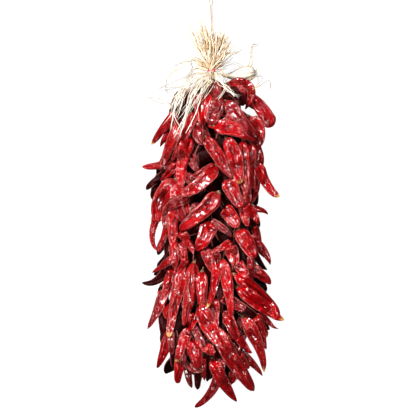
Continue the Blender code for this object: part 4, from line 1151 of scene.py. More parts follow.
class Pressing:
    """Presses the front pods clear of one another, as leathery pouches give way where they are piled.

    A grid seen from above holds how high the pods already laid reach. Where a pod's underside would
    come below that, the pod is pressed up and flattened.
    """

    CELL = 0.15
    LEFT, LOW = -24.0, -58.0
    COLUMNS, ROWS = 320, 670
    SLACK = 0.03             # between two skins
    MOST = 3.0               # how far a skin is pressed at most
    SOFT = 3                 # over how many cells the pressure spreads
    MARGIN = 8               # how many cells are looked at beyond a pod's own
    GIVE = 0.25              # how thick a skin's edge is taken to be as it is flattened
    FLATTEST = 0.45          # a pod keeps at least this share of its thickness

    def __init__(self) -> None:
        """Starts from an empty surface."""
        self.top = np.zeros((self.ROWS, self.COLUMNS))

    def settle(self, pieces: Sequence[bpy.types.Object], points: int, sides: int, moves: bool) -> None:
        """Presses every pod of some pieces in its turn.

        Args:
            pieces: The pieces, whose points say which pod they are of.
            points: How many rings a pod has.
            sides: How many points a ring has.
            moves: Whether these pods give way, or lie fast.
        """
        turns, pressed = [], []
        for piece in pieces:
            count = len(piece.data.vertices)
            places = np.empty(count * 3)
            order, free = np.empty(count), np.empty(count)
            piece.data.vertices.foreach_get("co", places)
            piece.data.attributes["order"].data.foreach_get("value", order)
            piece.data.attributes["free"].data.foreach_get("value", free)
            places = places.reshape(-1, points, sides, 3) / CM
            orders, eases = order.reshape(-1, points * sides), free.reshape(-1, points, sides)
            turns += [(orders[i][0], places[i], eases[i][:, :1]) for i in range(len(places))]
            pressed.append(places)
        for _, skin, ease in sorted(turns, key=lambda turn: turn[0]):
            if moves:
                self.press(skin, ease)
            row, column, height = self.cells(skin)
            np.maximum.at(self.top, (row, column), height)
        for piece, places in zip(pieces, pressed):
            piece.data.vertices.foreach_set("co", (places * CM).ravel())
            piece.data.update()

    def press(self, skin: np.ndarray, ease: np.ndarray) -> None:
        """Presses one pod, in place.

        Args:
            skin: Its points, ring by ring.
            ease: How freely each ring gives way, from 0 to 1.
        """
        row, column, height = self.cells(skin)
        low_row, low_column = row.min() - self.MARGIN, column.min() - self.MARGIN
        window = (slice(low_row, row.max() + self.MARGIN + 1),
                  slice(low_column, column.max() + self.MARGIN + 1))
        under = np.full(self.top[window].shape, np.inf)
        np.minimum.at(under, (row - low_row, column - low_column), height)
        need = np.where(np.isfinite(under), self.top[window] + self.SLACK - under, 0.0).clip(0.0, self.MOST)
        need = self.spread(self.spread(need, np.max), np.mean)
        down = (skin[..., 1] - self.LOW) / self.CELL - low_row - 0.5
        aside = (skin[..., 0] - self.LEFT) / self.CELL - low_column - 0.5
        i, j = (np.floor(part).astype(int) for part in (down, aside))
        t, u = down - i, aside - j
        pressed = ((need[i, j] * (1 - u) + need[i, j + 1] * u) * (1 - t)
                   + (need[i + 1, j] * (1 - u) + need[i + 1, j + 1] * u) * t) * ease
        across = skin[:, (-np.arange(skin.shape[1])) % skin.shape[1], 2]
        middle, half = (skin[..., 2] + across) / 2.0, (skin[..., 2] - across) / 2.0
        kept = np.clip(1.0 - 0.5 * pressed / (np.abs(half) + self.GIVE), self.FLATTEST, 1.0)
        skin[..., 2] = middle + pressed - np.abs(half) * (1.0 - kept) + half * kept

    def cells(self, skin: np.ndarray) -> tuple[np.ndarray, np.ndarray, np.ndarray]:
        """Places close together all over a skin.

        Args:
            skin: Its points, ring by ring.

        Returns:
            The grid's row and column of each place, and its height.
        """
        around = np.stack([skin, (skin + np.roll(skin, -1, 1)) / 2.0], 2).reshape(len(skin), -1, 3)
        places = np.concatenate([around, (around[:-1] + around[1:]) / 2.0]).reshape(-1, 3)
        return (((places[:, 1] - self.LOW) / self.CELL).astype(int),
                ((places[:, 0] - self.LEFT) / self.CELL).astype(int), places[:, 2])

    def spread(self, values: np.ndarray, how: Callable[..., np.ndarray]) -> np.ndarray:
        """Each cell's largest or mean value among its neighbours."""
        padded, width = np.pad(values, self.SOFT), 2 * self.SOFT + 1
        return how(np.lib.stride_tricks.sliding_window_view(padded, (width, width)), axis=(2, 3))


# ---------------------------------------------------------------- finishes of the other pieces


@dataclass(frozen=True)
class TwoShades:
    """A finish that is mottled or fibrous in two shades, and stands up a little where it is light."""

    name: str
    light: Colour
    dark: Colour
    fineness: float
    roughness: float
    lightest: float = 0.65       # the noise from which it is fully light
    shine: float = 0.5
    strength: float = 0.4        # how much of its relief shows
    relief: float = 0.0006       # in metres

    def material(self) -> bpy.types.Material:
        """The finish as a material.

        Returns:
            The material.
        """
        material, g = new_material(self.name)
        shade = g.noise(g.node("ShaderNodeTexCoord", output="Object"), self.fineness, 4.0)
        base = g.mix(g.smooth(shade, 0.35, self.lightest), self.dark, self.light)
        close_material(g, Base_Color=base, Roughness=self.roughness, Specular_IOR_Level=self.shine,
                       Normal=g.bump(shade, self.strength, self.relief))
        return material


@dataclass(frozen=True)
class Stalks:
    """Dried stalks, brown and some of them reddish."""

    light: Colour = (0.14, 0.07, 0.03)
    dark: Colour = (0.04, 0.016, 0.008)
    reddish: Colour = (0.16, 0.05, 0.02)

    def material(self) -> bpy.types.Material:
        """The finish as a material.

        Returns:
            The material, which reads the values on the stems' points.
        """
        material, g = new_material("dried_stem")
        streak = g.noise(g.node("ShaderNodeTexCoord", output="Object"), 160.0, 3.0)
        base = g.mix(g.smooth(streak, 0.35, 0.65), self.dark, self.light)
        base = g.mix(g.attribute("pod") * 0.6, base, self.reddish)
        close_material(g, Base_Color=base, Roughness=0.6)
        return material


@dataclass(frozen=True)
class DriedStraw:
    """Dried straw, each strand in a shade of its own, from brown to pale."""

    brown: Colour = (0.54, 0.35, 0.17)
    tan: Colour = (0.67, 0.51, 0.32)
    pale: Colour = (0.72, 0.63, 0.50)
    palest: Colour = (0.84, 0.80, 0.72)
    neck_shade: Colour = (0.45, 0.27, 0.11)       # painted shade: browner near the thread, where the strands crowd together
    loose: Colour = (0.30, 0.26, 0.205)      # the loose strands towards their ends

    def material(self) -> bpy.types.Material:
        """The finish as a material.

        Returns:
            The material, which reads the values on the strands' points.
        """
        material, g = new_material("straw")
        streak = g.noise(g.node("ShaderNodeTexCoord", output="Object"), 240.0, 3.0)
        shade = g.clamp(g.attribute("shade") + (streak - 0.5) * 0.5)
        base = g.node("ShaderNodeValToRGB", {"Fac": shade}, stops=[
            (0.0, self.brown), (0.35, self.tan), (0.65, self.pale), (1.0, self.palest)])
        # Painted shade: browner near the thread, where the strands crowd together.
        base = g.mix(g.smooth(g.attribute("along"), 0.50, 0.05) * 0.35, base, self.neck_shade)
        loose = g.smooth(g.attribute("shade"), -0.15, -0.50) * g.smooth(g.attribute("along"), 0.30, 0.50)
        base = g.mix(loose, base, self.loose)
        close_material(g, Base_Color=base, Roughness=0.5, Specular_IOR_Level=0.3)
        return material


@dataclass(frozen=True)
class GarlicPaper:
    """The garlic's papery skin, with veins, a blush and painted shade in the creases between its cloves."""

    white: Colour = (0.50, 0.465, 0.41)
    blush: Colour = (0.43, 0.36, 0.28)
    vein: Colour = (0.46, 0.39, 0.31)
    crease: Colour = (0.50, 0.40, 0.31)
    stalk: Colour = (0.54, 0.44, 0.30)

    def material(self) -> bpy.types.Material:
        """The finish as a material.

        Returns:
            The material, which reads the values on the bulb's points.
        """
        material, g = new_material("garlic_paper")
        skin = g.attribute("skin", "Vector")
        vein = g.crests(g.vector("MULTIPLY", skin, (7.0, 7.0, 0.8)), 3.0)
        blush = g.noise(g.vector("MULTIPLY", skin, (2.0, 2.0, 0.9)), 1.0, 3.0)
        base = g.mix(g.smooth(blush, 0.42, 0.72) * 0.7, self.white, self.blush)
        base = g.mix(g.clamp(vein) * 0.35, base, self.vein)
        # Painted shade: browner in the creases between the cloves.
        base = g.mix(g.smooth(g.attribute("crease"), 0.55, 0.1) * 0.5, base, self.crease)
        base = g.mix(g.smooth(g.attribute("along"), 0.40, 0.15) * 0.8, base, self.stalk)
        close_material(g, Base_Color=base, Roughness=0.55, Normal=g.bump(vein, 0.4, 0.0008))
        return material


@dataclass(frozen=True)
class PaleSheet:
    """The floor's white: most of it is its own glow, so that shadows hardly grey it."""

    grey: Colour = (0.12, 0.12, 0.12)
    glow: float = 0.95

    def material(self) -> bpy.types.Material:
        """The finish as a material.

        Returns:
            The material.
        """
        material, g = new_material("floor_white")
        close_material(g, Base_Color=self.grey, Roughness=0.9, Emission_Color=(1.0, 1.0, 1.0),
                       Emission_Strength=self.glow, Specular_IOR_Level=0.0)
        return material


# Painted shade: the core is near black, so that the gaps between the pods read as shadow.
CORE_SHADE = TwoShades("core_skins", (0.02, 0.0002, 0.0003), (0.004, 0.0001, 0.0001), 60.0, 0.7,
                       lightest=0.75, shine=0.0, strength=0.6, relief=0.003)
THREAD_RED = TwoShades("thread", (0.50, 0.02, 0.09), (0.22, 0.008, 0.035), 900.0, 0.6)
ROOT_STRAW = TwoShades("garlic_root", (0.62, 0.50, 0.33), (0.34, 0.22, 0.12), 500.0, 0.8)
TWINE_BROWN = TwoShades("twine", (0.46, 0.36, 0.26), (0.20, 0.14, 0.10), 900.0, 0.85)


# ---------------------------------------------------------------- what the pods are tied round


@dataclass
class Core:
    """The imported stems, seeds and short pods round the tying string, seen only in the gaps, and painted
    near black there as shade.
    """

    top: float = 33.0
    bottom: float = -41.0
    girth: float = 0.58          # of the bundle's own half-width
    depth: float = 0.48          # of its girth, upwards and downwards
    lumps: float = 0.5           # how far its lumps stand out
    around: int = 60
    rings: int = 140
    finish: TwoShades = CORE_SHADE

    def ring(self, along: float) -> list[tuple[float, float, float]]:
        """One ring of the core.

        Args:
            along: The place along it, from -1 at the bottom to 1 at the top.

        Returns:
            The ring's points, in metres.
        """
        y = (self.top + self.bottom) / 2.0 + (self.top - self.bottom) / 2.0 * along
        left, right = edges(y)
        girth = self.girth * (right - left) / 2.0 * math.sqrt(1.0 - along ** 4)
        points = []
        for step in range(self.around):
            angle = math.tau * step / self.around
            side, up = math.cos(angle), math.sin(angle)
            lump = noise.noise(Vector((side * 3.0 + 7.0, up * 3.0, y * 0.45))) * self.lumps * 2.0
            height = AXIS_HEIGHT - SETTLED + (girth * self.depth + lump) * up
            points.append((CM * ((left + right) / 2.0 + (girth + lump) * side), CM * y, CM * height))
        return points

    def build(self) -> bpy.types.Object:
        """Makes the core.

        Returns:
            One closed lumpy body.
        """
        bm = bmesh.new()
        rows = [[bm.verts.new(point) for point in self.ring(2.0 * ring / self.rings - 1.0)]
                for ring in range(1, self.rings)]
        for row, following in zip(rows, rows[1:]):
            for step in range(self.around):
                other = (step + 1) % self.around
                bm.faces.new((row[step], row[other], following[other], following[step]))
        bm.faces.new(rows[0])
        bm.faces.new(rows[-1])
        bmesh.ops.recalc_face_normals(bm, faces=bm.faces)
        for face in bm.faces:
            face.smooth = True
        mesh = bpy.data.meshes.new("bundle_core")
        bm.to_mesh(mesh)
        bm.free()
        mesh.materials.append(self.finish.material())
        return new_object("bundle_core", mesh)


# ---------------------------------------------------------------- the pods' stems


@dataclass
class StemSweep(Sweep):
    """A dried stem, whose cap is scalloped where it sits on the pod."""

    lobes: int = 5               # round the cap
    ribs: int = 4                # down the stem

    def wall(self, g: Graph, turn: Wire) -> tuple[Wire, Wire, Kept]:
        """Lobes round the cap, and ribs down the stem.

        Args:
            g: The graph.
            turn: The point's angle round the line, from 0 to 2 pi.

        Returns:
            Its place to the side and upwards, as shares of the half-width.
        """
        lobe = g.maths("COSINE", turn * float(self.lobes) + g.field("pod") * 6.0)
        rib = g.maths("COSINE", turn * float(self.ribs))
        reach = 1.0 + lobe * (1.0 - g.field("along")) * 0.16 + rib * 0.06
        return g.maths("COSINE", turn) * reach, g.maths("SINE", turn) * reach, {}


@dataclass
class Stems:
    """The stems that the pods are tied by, which run back into the bundle."""

    length: float = 3.0
    inward: float = 2.4          # how far they turn in towards the string
    seated: float = 0.45         # how deep the cap sits in the pod's shoulder
    pod_width: float = 3.2       # of the pod that a stem of full girth is on
    points: int = 11
    sides: int = 7
    finish: Stalks = Stalks()

    def build(self, pods: Sequence[Laid]) -> bpy.types.Object:
        """Makes the stems.

        Args:
            pods: The pods that may have one; a pod with a bare shoulder has lost it.

        Returns:
            All of them as one piece.
        """
        rng = random.Random(SEED + 2)
        lines = LineSet()
        t = np.linspace(0.0, 1.0, self.points)
        girth = np.interp(t, (0.0, 0.1, 0.2, 0.28, 0.4, 0.9, 1.0), (0.50, 0.58, 0.46, 0.26, 0.18, 0.15, 0.20))
        for pod in [pod for pod in pods if pod.tucked >= 0.0]:
            start = pod.line[0] - (0.0, 0.0, SETTLED + TUCK * pod.tucked)
            back = pod.line[0] - pod.line[1]
            back /= np.linalg.norm(back)
            inward = np.array((-start[0], 0.0, AXIS_HEIGHT - start[2]))
            inward /= max(1.0, float(np.linalg.norm(inward)))
            line = (start + np.outer(self.length * t - self.seated, back)
                    + np.outer(self.inward * t ** 1.6 * rng.uniform(0.6, 1.2), inward))
            lines.add(line, half=girth * CM * pod.width / self.pod_width, along=t,
                      roll=rng.uniform(0.0, 6.0), pod=rng.random())
        return StemSweep("stems", self.sides).run("stems", lines, self.finish.material(), ("pod",))


# ---------------------------------------------------------------- the straw


NECK = (-0.4, 38.1)          # where the straw is tied
NECK_HEIGHT = 6.5
NECK_RADIUS = 0.95
# The tuft's hanks above the thread: heading in degrees, + to the right; length; rise; half-width of its end.
TUFT = [
    (-10.0, 12.0, -4.0, 0.75), (-3.0, 11.2, 6.0, 0.80), (1.0, 11.4, -19.0, 0.85), (12.0, 10.3, 0.0, 0.80),
    (-14.5, 16.2, -7.0, 0.45), (-9.0, 14.6, -4.0, 0.30),
    (24.0, 11.8, -8.0, 0.70), (33.0, 9.0, 2.0, 0.75), (41.0, 7.2, -16.0, 0.70), (-29.0, 9.2, -6.0, 0.60),
    (-45.0, 6.3, -14.0, 0.60), (-18.0, 6.5, 8.0, 0.95), (17.0, 6.8, 12.0, 0.95), (5.0, 7.0, -30.0, 0.95),
    (-62.0, 4.6, 6.0, 0.70), (60.0, 4.4, 2.0, 0.70), (-35.0, 5.0, 20.0, 0.80), (33.0, 5.0, 18.0, 0.80),
]
TUFT_DROOP = 0.9             # how far a strand's end sags
TUFT_ROOT = 3.0              # how far below the thread its strands start
HANKS_PART = 0.22            # the share of a hank's length over which it comes out of the binding
# The skirt below it, from its outer strand to its inner one: each one's ends and where it turns down.
SKIRT_OUTER = [(-2.6, 37.8), (-11.6, 35.6), (-12.2, 20.6)]
SKIRT_INNER = [(0.8, 36.6), (-1.4, 33.6), (-7.6, 21.6)]
SKIRT_CROSSING = (0.0, 0.35, 0.5)    # how much the strands cross one another there
ON_PODS = 9.0                # a loose strand that ends higher than this lies on the pods
# Loose strands, each from the neck outwards, and the height that it falls to.
CURLS = [
    ([(-1.0, 38.9), (-3.5, 40.8), (-7.6, 40.5), (-10.5, 38.9)], 4.0),
    ([(-1.4, 38.8), (-5.4, 40.5), (-10.3, 38.6), (-12.2, 36.0), (-12.4, 32.6), (-11.1, 31.1)], 6.0),
    ([(-1.2, 37.4), (-3.4, 37.4), (-6.2, 36.5), (-13.0, 33.5), (-15.9, 31.6)], 5.0),
    ([(-1.0, 37.0), (-4.2, 35.2), (-8.6, 33.4), (-13.0, 33.2), (-14.6, 33.9)], 5.5),
    ([(-6.0, 33.0), (-9.6, 30.2), (-11.6, 29.2), (-14.3, 30.0), (-18.2, 31.2)], 6.0),
    ([(-1.6, 38.0), (-4.6, 38.4), (-6.6, 36.8), (-7.4, 34.6)], 7.0),
    ([(-1.2, 38.9), (-4.0, 41.4), (-5.2, 40.6), (-5.6, 38.2), (-7.6, 36.0)], 6.5),
    ([(0.6, 39.0), (2.4, 39.4), (5.9, 40.0), (8.6, 39.4)], 4.5),
    ([(1.8, 41.4), (3.6, 42.6), (6.0, 43.4), (8.5, 43.9)], 5.0),
    ([(9.4, 38.8), (10.2, 39.9), (10.2, 43.8), (10.9, 45.0), (12.2, 45.4)], 2.5),
    ([(9.6, 36.0), (10.8, 36.3), (12.4, 36.8), (13.0, 35.4), (12.2, 33.8)], 5.0),
    ([(10.6, 33.0), (12.0, 33.7), (14.9, 34.6), (15.2, 32.7), (14.0, 31.4)], 4.0),
    ([(0.2, 37.9), (0.8, 37.3), (2.4, 34.6), (5.1, 32.7), (5.4, 30.8)], 14.0),
    ([(0.0, 37.6), (0.4, 36.7), (1.9, 34.3), (3.5, 32.7), (7.3, 30.8)], 14.0),
    ([(0.4, 37.6), (1.4, 36.0), (3.6, 32.9), (1.4, 30.2)], 14.0),
    ([(0.6, 38.4), (2.6, 38.2), (3.4, 36.4), (3.8, 34.6)], 9.0),
    ([(-1.0, 37.2), (-3.4, 34.2), (-6.4, 29.6), (-9.6, 18.8)], 14.0),
    ([(-0.8, 37.2), (-2.9, 34.6), (-6.3, 28.6), (-8.7, 20.4)], 14.0),
    ([(-1.0, 37.2), (-4.6, 34.8), (-9.2, 31.0), (-11.6, 22.4)], 12.0),
]


def disc(rng: random.Random) -> np.ndarray:
    """A place in a round of radius 1, all parts of it as likely."""
    reach, angle = math.sqrt(rng.random()), rng.uniform(0.0, math.tau)
    return np.array((reach * math.cos(angle), reach * math.sin(angle)))


def bent(a: Point, b: Point, c: Point, t: float) -> np.ndarray:
    """A point on the curve from a to c that is drawn towards b."""
    return (1.0 - t) ** 2 * np.array(a) + 2.0 * t * (1.0 - t) * np.array(b) + t * t * np.array(c)


@dataclass
class StrandSweep(Sweep):
    """A flat strand of straw, troughed along its middle."""

    trough: float = 0.35
    thickness: float = 0.22

    def inputs(self) -> dict[str, float]:
        """The strand's named sizes."""
        return {"Trough": self.trough, "Thickness": self.thickness}

    def wall(self, g: Graph, turn: Wire) -> tuple[Wire, Wire, Kept]:
        """A thin section that curls up at its edges."""
        u, v = g.maths("COSINE", turn), g.maths("SINE", turn)
        return u, v * self.take(g, "Thickness") + u * u * self.take(g, "Trough"), {}


@dataclass
class Straw:
    """The raffia: the tuft above the thread, the skirt below it and the loose strands."""

    ground: BVHTree              # the pods that the strands lie on
    tuft_share: float = 4.2      # strands for each square centimetre of a hank's side
    skirt_count: int = 56
    tuft_points: int = 20
    skirt_points: int = 30
    loose_points: int = 44
    sides: int = 4
    steepest: float = 0.9        # how fast a strand climbs or falls
    tied_stretch: float = 1.6    # below the thread, where a strand still keeps its height in the neck
    finish: DriedStraw = DriedStraw()

    def height(self, x: float, y: float, least: float) -> float:
        """The top of the pods at a place, or least where that is higher."""
        hit = self.ground.ray_cast(Vector((CM * x, CM * y, 1.0)), Vector((0.0, 0.0, -1.0)))[0]
        return max(least, hit.z / CM if hit else least)

    def rest(self, plan_line: np.ndarray, least: np.ndarray, lift: float) -> np.ndarray:
        """Lays a strand over the pods as its stiffness lets it.

        Args:
            plan_line: Its points as seen from above.
            least: The height that each one has at least.
            lift: How far above the pods it lies, for the strands under it.

        Returns:
            Its points in space.
        """
        heights = [self.height(x, y, low) for (x, y), low in zip(plan_line, least)]
        hold_slope(heights, np.linalg.norm(np.diff(plan_line, axis=0), axis=1) * self.steepest)
        tied = np.clip(1.0 - (NECK[1] - plan_line[:, 1]) / self.tied_stretch, 0.0, 1.0)
        near_neck = plan_line[:, 1] > NECK[1] - self.tied_stretch
        heights = np.where(near_neck, tied * least + (1.0 - tied) * heights, heights)
        padded = np.pad(heights, 1, mode="edge")
        soft = (padded[:-2] + padded[1:-1] * 2.0 + padded[2:]) / 4.0
        return np.column_stack([plan_line, np.maximum(soft, heights - 0.15) + lift * (1.0 - tied)])

    def tuft(self) -> LineSet:
        """Lays out the strands above the thread, hank by hank.

        Returns:
            Their lines.
        """
        rng = random.Random(SEED + 3)
        lines = LineSet()
        for heading, length, rise, half in TUFT:
            for _ in range(round(self.tuft_share * half * length)):
                inside, outside = disc(rng) * NECK_RADIUS * 0.86, disc(rng) * half
                reach = length * rng.triangular(0.55, 1.04, 0.98)
                turn = math.radians(heading + rng.gauss(0.0, 11.0))
                tilt = math.radians(rise + rng.gauss(0.0, 5.0))
                out = np.linspace(-TUFT_ROOT, reach, self.tuft_points)
                s = np.clip(out / length, 0.0, None)
                apart = np.minimum(1.0, s / HANKS_PART)
                wave = rng.uniform(-0.6, 0.6) * np.sin(s * rng.uniform(2.0, 8.0))
                wave = wave + rng.uniform(-0.5, 0.5) * s ** 3
                flare = 1.0 + np.clip(-out - 0.6, 0.0, None) * 0.22
                x = (NECK[0] + math.sin(turn) * np.clip(out, 0.0, None) * (0.3 + 0.7 * apart)
                     + inside[0] * (1.0 - apart) * flare + (outside[0] + wave) * apart)
                z = (NECK_HEIGHT + math.sin(tilt) * np.clip(out, 0.0, None) - TUFT_DROOP * s ** 2
                     + inside[1] * (1.0 - apart) * flare + outside[1] * apart * 0.8)
                lines.add(np.column_stack([x, NECK[1] + math.cos(turn) * out, z]),
                          half=CM * rng.uniform(0.06, 0.13) * np.interp(s, (0.0, 0.7, 1.05), (0.9, 1.0, 0.5)),
                          roll=rng.uniform(-1.5, 1.5) + rng.uniform(-1.5, 1.5) * s,
                          shade=rng.uniform(-0.3, 1.0), along=np.clip(out / 9.0, 0.0, 1.0))
        return lines

    def skirt(self) -> LineSet:
        """Lays out the strands below the thread, and the loose ones.

        Returns:
            Their lines.
        """
        rng = random.Random(SEED + 4)
        lines = LineSet()
        for index in range(self.skirt_count):
            u = rng.random() ** 0.8
            corners = []
            for outer, inner, cross in zip(SKIRT_OUTER, SKIRT_INNER, SKIRT_CROSSING):
                share = min(1.1, max(-0.1, u + rng.gauss(0.0, cross)))
                stray = (rng.gauss(0.0, 0.6), rng.gauss(0.0, 0.7))
                corners.append(np.array(outer) + (np.array(inner) - outer) * share + stray)
            reach = rng.triangular(0.25, 1.05, 0.8)
            neck = disc(rng) * NECK_RADIUS * 0.8
            route = [(NECK[0] + neck[0], NECK[1] + 0.6), (NECK[0] + neck[0], NECK[1] - 0.3)]
            route += [bent(*corners, t) for t in np.linspace(0.12, reach, 7)]
            line = smooth_line(np.array(route), self.skirt_points)
            s = np.linspace(0.0, 1.0, self.skirt_points)
            line[:, 0] += rng.uniform(-0.9, 0.9) * np.sin(s * rng.uniform(4.0, 12.0)) * s
            line[:, 1] += rng.uniform(-0.5, 0.5) * np.sin(s * rng.uniform(4.0, 12.0)) * s
            line[:, 0] += rng.uniform(-1.6, 1.6) * np.clip((s - 0.8) / 0.2, 0.0, 1.0) ** 2
            least = NECK_HEIGHT + neck[1] + s * 5.0
            lift = 0.12 + 0.9 * index / self.skirt_count * np.sin(np.minimum(1.0, s * 4.0) * math.pi / 2.0)
            self._lay(lines, rng, line, least, lift, (0.045, 0.09), 0.75)
        for route, end in CURLS:
            on_pods = end > ON_PODS
            s = np.linspace(0.0, 1.0, self.loose_points)
            least = np.interp(s, (0.0, 0.12, 1.0), (NECK_HEIGHT, NECK_HEIGHT, end))
            least = np.minimum(least, ON_PODS)
            for _ in range(3 if on_pods else rng.choice((2, 2, 3))):
                shifted = np.array(route) + [(rng.gauss(0.0, 0.4), rng.gauss(0.0, 0.4)) for _ in route]
                self._lay(lines, rng, smooth_line(shifted, self.loose_points), least, 0.2, (0.09, 0.13),
                          0.8 if on_pods else -1.2)
        return lines

    def _lay(self, lines: LineSet, rng: random.Random, line: np.ndarray, least: np.ndarray, lift: Any,
             halves: tuple[float, float], paler: float) -> None:
        """Lays one strand below the thread and adds it.

        Args:
            lines: The lines that it is added to.
            rng: Where chance comes from.
            line: Its points as seen from above.
            least: The height that each one has at least.
            lift: How far above the pods it lies, in all or point by point.
            halves: Its half-width at least and at most.
            paler: How much paler it gets towards its end.
        """
        s = np.linspace(0.0, 1.0, len(line))
        lines.add(self.rest(line, least, lift),
                  half=CM * rng.uniform(*halves) * np.interp(s, (0.0, 0.9, 1.0), (1.0, 0.9, 0.4)),
                  roll=rng.uniform(-1.2, 1.2) + rng.uniform(-2.0, 2.0) * s,
                  shade=rng.uniform(-0.2, 0.7) + paler * (0.3 + s * 0.7), along=0.2 + s * 0.8)

    def build(self) -> tuple[bpy.types.Object, bpy.types.Object]:
        """Makes the straw.

        Returns:
            The tuft, and the skirt with the loose strands.
        """
        sweep, reads = StrandSweep("straw strands", self.sides), ("shade", "along")
        material = self.finish.material()
        return (sweep.run("straw_tuft", self.tuft(), material, reads),
                sweep.run("straw_skirt", self.skirt(), material, reads))


# ---------------------------------------------------------------- what is tied on


# The thread's two loose ends.
THREAD_ENDS = [
    [(0.3, 37.9, 7.1), (0.75, 37.8, 7.3), (1.1, 37.5, 7.2), (1.35, 37.0, 6.9)],
    [(0.2, 38.0, 7.2), (0.6, 38.4, 7.4), (1.1, 38.7, 7.3)],
]
# The garlic's stalk and bulb along its middle line, and its radius there.
GARLIC = [
    (0.95, 37.3, 6.3, 0.30), (2.2, 37.0, 5.4, 0.34), (3.4, 36.8, 4.2, 0.45), (4.4, 36.8, 3.3, 0.75),
    (5.5, 36.9, 2.7, 1.15), (6.7, 37.1, 2.3, 1.62), (7.9, 37.3, 2.2, 1.95), (9.1, 37.5, 2.15, 2.10),
    (10.2, 37.7, 2.1, 2.00), (11.0, 37.8, 2.1, 1.60), (11.5, 37.9, 2.1, 0.95),
]
TWINE = 0.30                 # its width
# The twine's route, from the tuft round the loop and back.
LOOP_ROUTE = [
    (-0.36, 47.6, 1.95), (-0.38, 49.9, 1.62), (-0.42, 50.7, 1.20), (-0.47, 51.6, 0.68), (-0.53, 52.6, 0.30),
    (-0.60, 53.8, 0.16), (-0.68, 55.0, 0.16), (-0.78, 56.3, 0.16), (-0.94, 57.5, 0.16), (-1.20, 58.7, 0.16),
    (-1.42, 59.8, 0.16), (-1.38, 60.9, 0.16), (-0.95, 61.6, 0.16), (-0.28, 61.6, 0.16), (0.20, 60.9, 0.16),
    (0.28, 59.8, 0.16), (0.08, 58.7, 0.16), (-0.16, 57.5, 0.16), (-0.28, 56.3, 0.16), (-0.30, 55.0, 0.16),
    (-0.26, 53.8, 0.16), (-0.18, 52.6, 0.30), (-0.10, 51.6, 0.68), (-0.04, 50.7, 1.20), (0.00, 49.9, 1.62),
    (0.02, 47.6, 1.95),
]


@dataclass
class Thread:
    """The red thread that ties the straw, wound round its neck in two wraps."""

    width: float = 0.13
    turns: int = 6
    turn_points: int = 26
    end_points: int = 16
    sides: int = 8
    finish: TwoShades = THREAD_RED

    def wrap(self, index: int, start: float) -> np.ndarray:
        """One wrap of the thread.

        Args:
            index: Its number, from the inner one.
            start: Where its up and down along the neck begins, as an angle.

        Returns:
            Its middle line.
        """
        turns = np.linspace(0.0, self.turns, self.turns * self.turn_points)
        angle = math.tau * turns + index * 2.0
        reach = NECK_RADIUS + 0.08 + 0.10 * index + 0.03 * np.sin(turns * 5.0)
        y = (NECK[1] + (turns / self.turns - 0.5) * self.width * (4.6 - index)
             + 0.05 * np.sin(angle + start))
        return np.column_stack([NECK[0] + reach * np.cos(angle), y, NECK_HEIGHT + reach * np.sin(angle)])

    def build(self) -> bpy.types.Object:
        """Makes the thread.

        Returns:
            Its wraps and its loose ends as one piece.
        """
        rng = random.Random(SEED + 5)
        lines = LineSet()
        for index in range(2):
            lines.add(self.wrap(index, rng.uniform(0.0, 6.0)), half=CM * self.width / 2.0, roll=0.0)
        for end in THREAD_ENDS:
            lines.add(smooth_line(np.array(end), self.end_points), half=CM * self.width / 2.4, roll=0.0)
        return Sweep("thread", self.sides).run("tie_thread", lines, self.finish.material())


@dataclass
class GarlicSweep(Sweep):
    """A bulb whose cloves show through its paper."""

    cloves: int = 9
    relief: float = 0.11

    def inputs(self) -> dict[str, float]:
        """The bulb's named sizes."""
        return {"Cloves": float(self.cloves), "Relief": self.relief}

    def wall(self, g: Graph, turn: Wire) -> tuple[Wire, Wire, Kept]:
        """Rounded cloves with creases between them, wrinkled by the drying skin.

        Args:
            g: The graph.
            turn: The point's angle round the line, from 0 to 2 pi.

        Returns:
            Its place to the side and upwards, as shares of the half-width, and what the paper's
            material reads.
        """
        u, v = g.maths("COSINE", turn), g.maths("SINE", turn)
        clove = g.maths("ABSOLUTE", g.maths("COSINE", turn * self.take(g, "Cloves") * 0.5)) ** 0.5
        skin = g.node("ShaderNodeCombineXYZ", {0: u, 1: v, 2: g.field("along") * 2.0})
        wrinkle = g.noise(g.vector("MULTIPLY", skin, (4.0, 4.0, 1.2)), 1.0, 3.0) - 0.5
        reach = 1.0 + (clove - 0.75) * self.take(g, "Relief") * g.field("swell") + wrinkle * 0.08
        return u * reach, v * reach, {"skin": (skin, "FLOAT_VECTOR"), "crease": (clove, "FLOAT")}


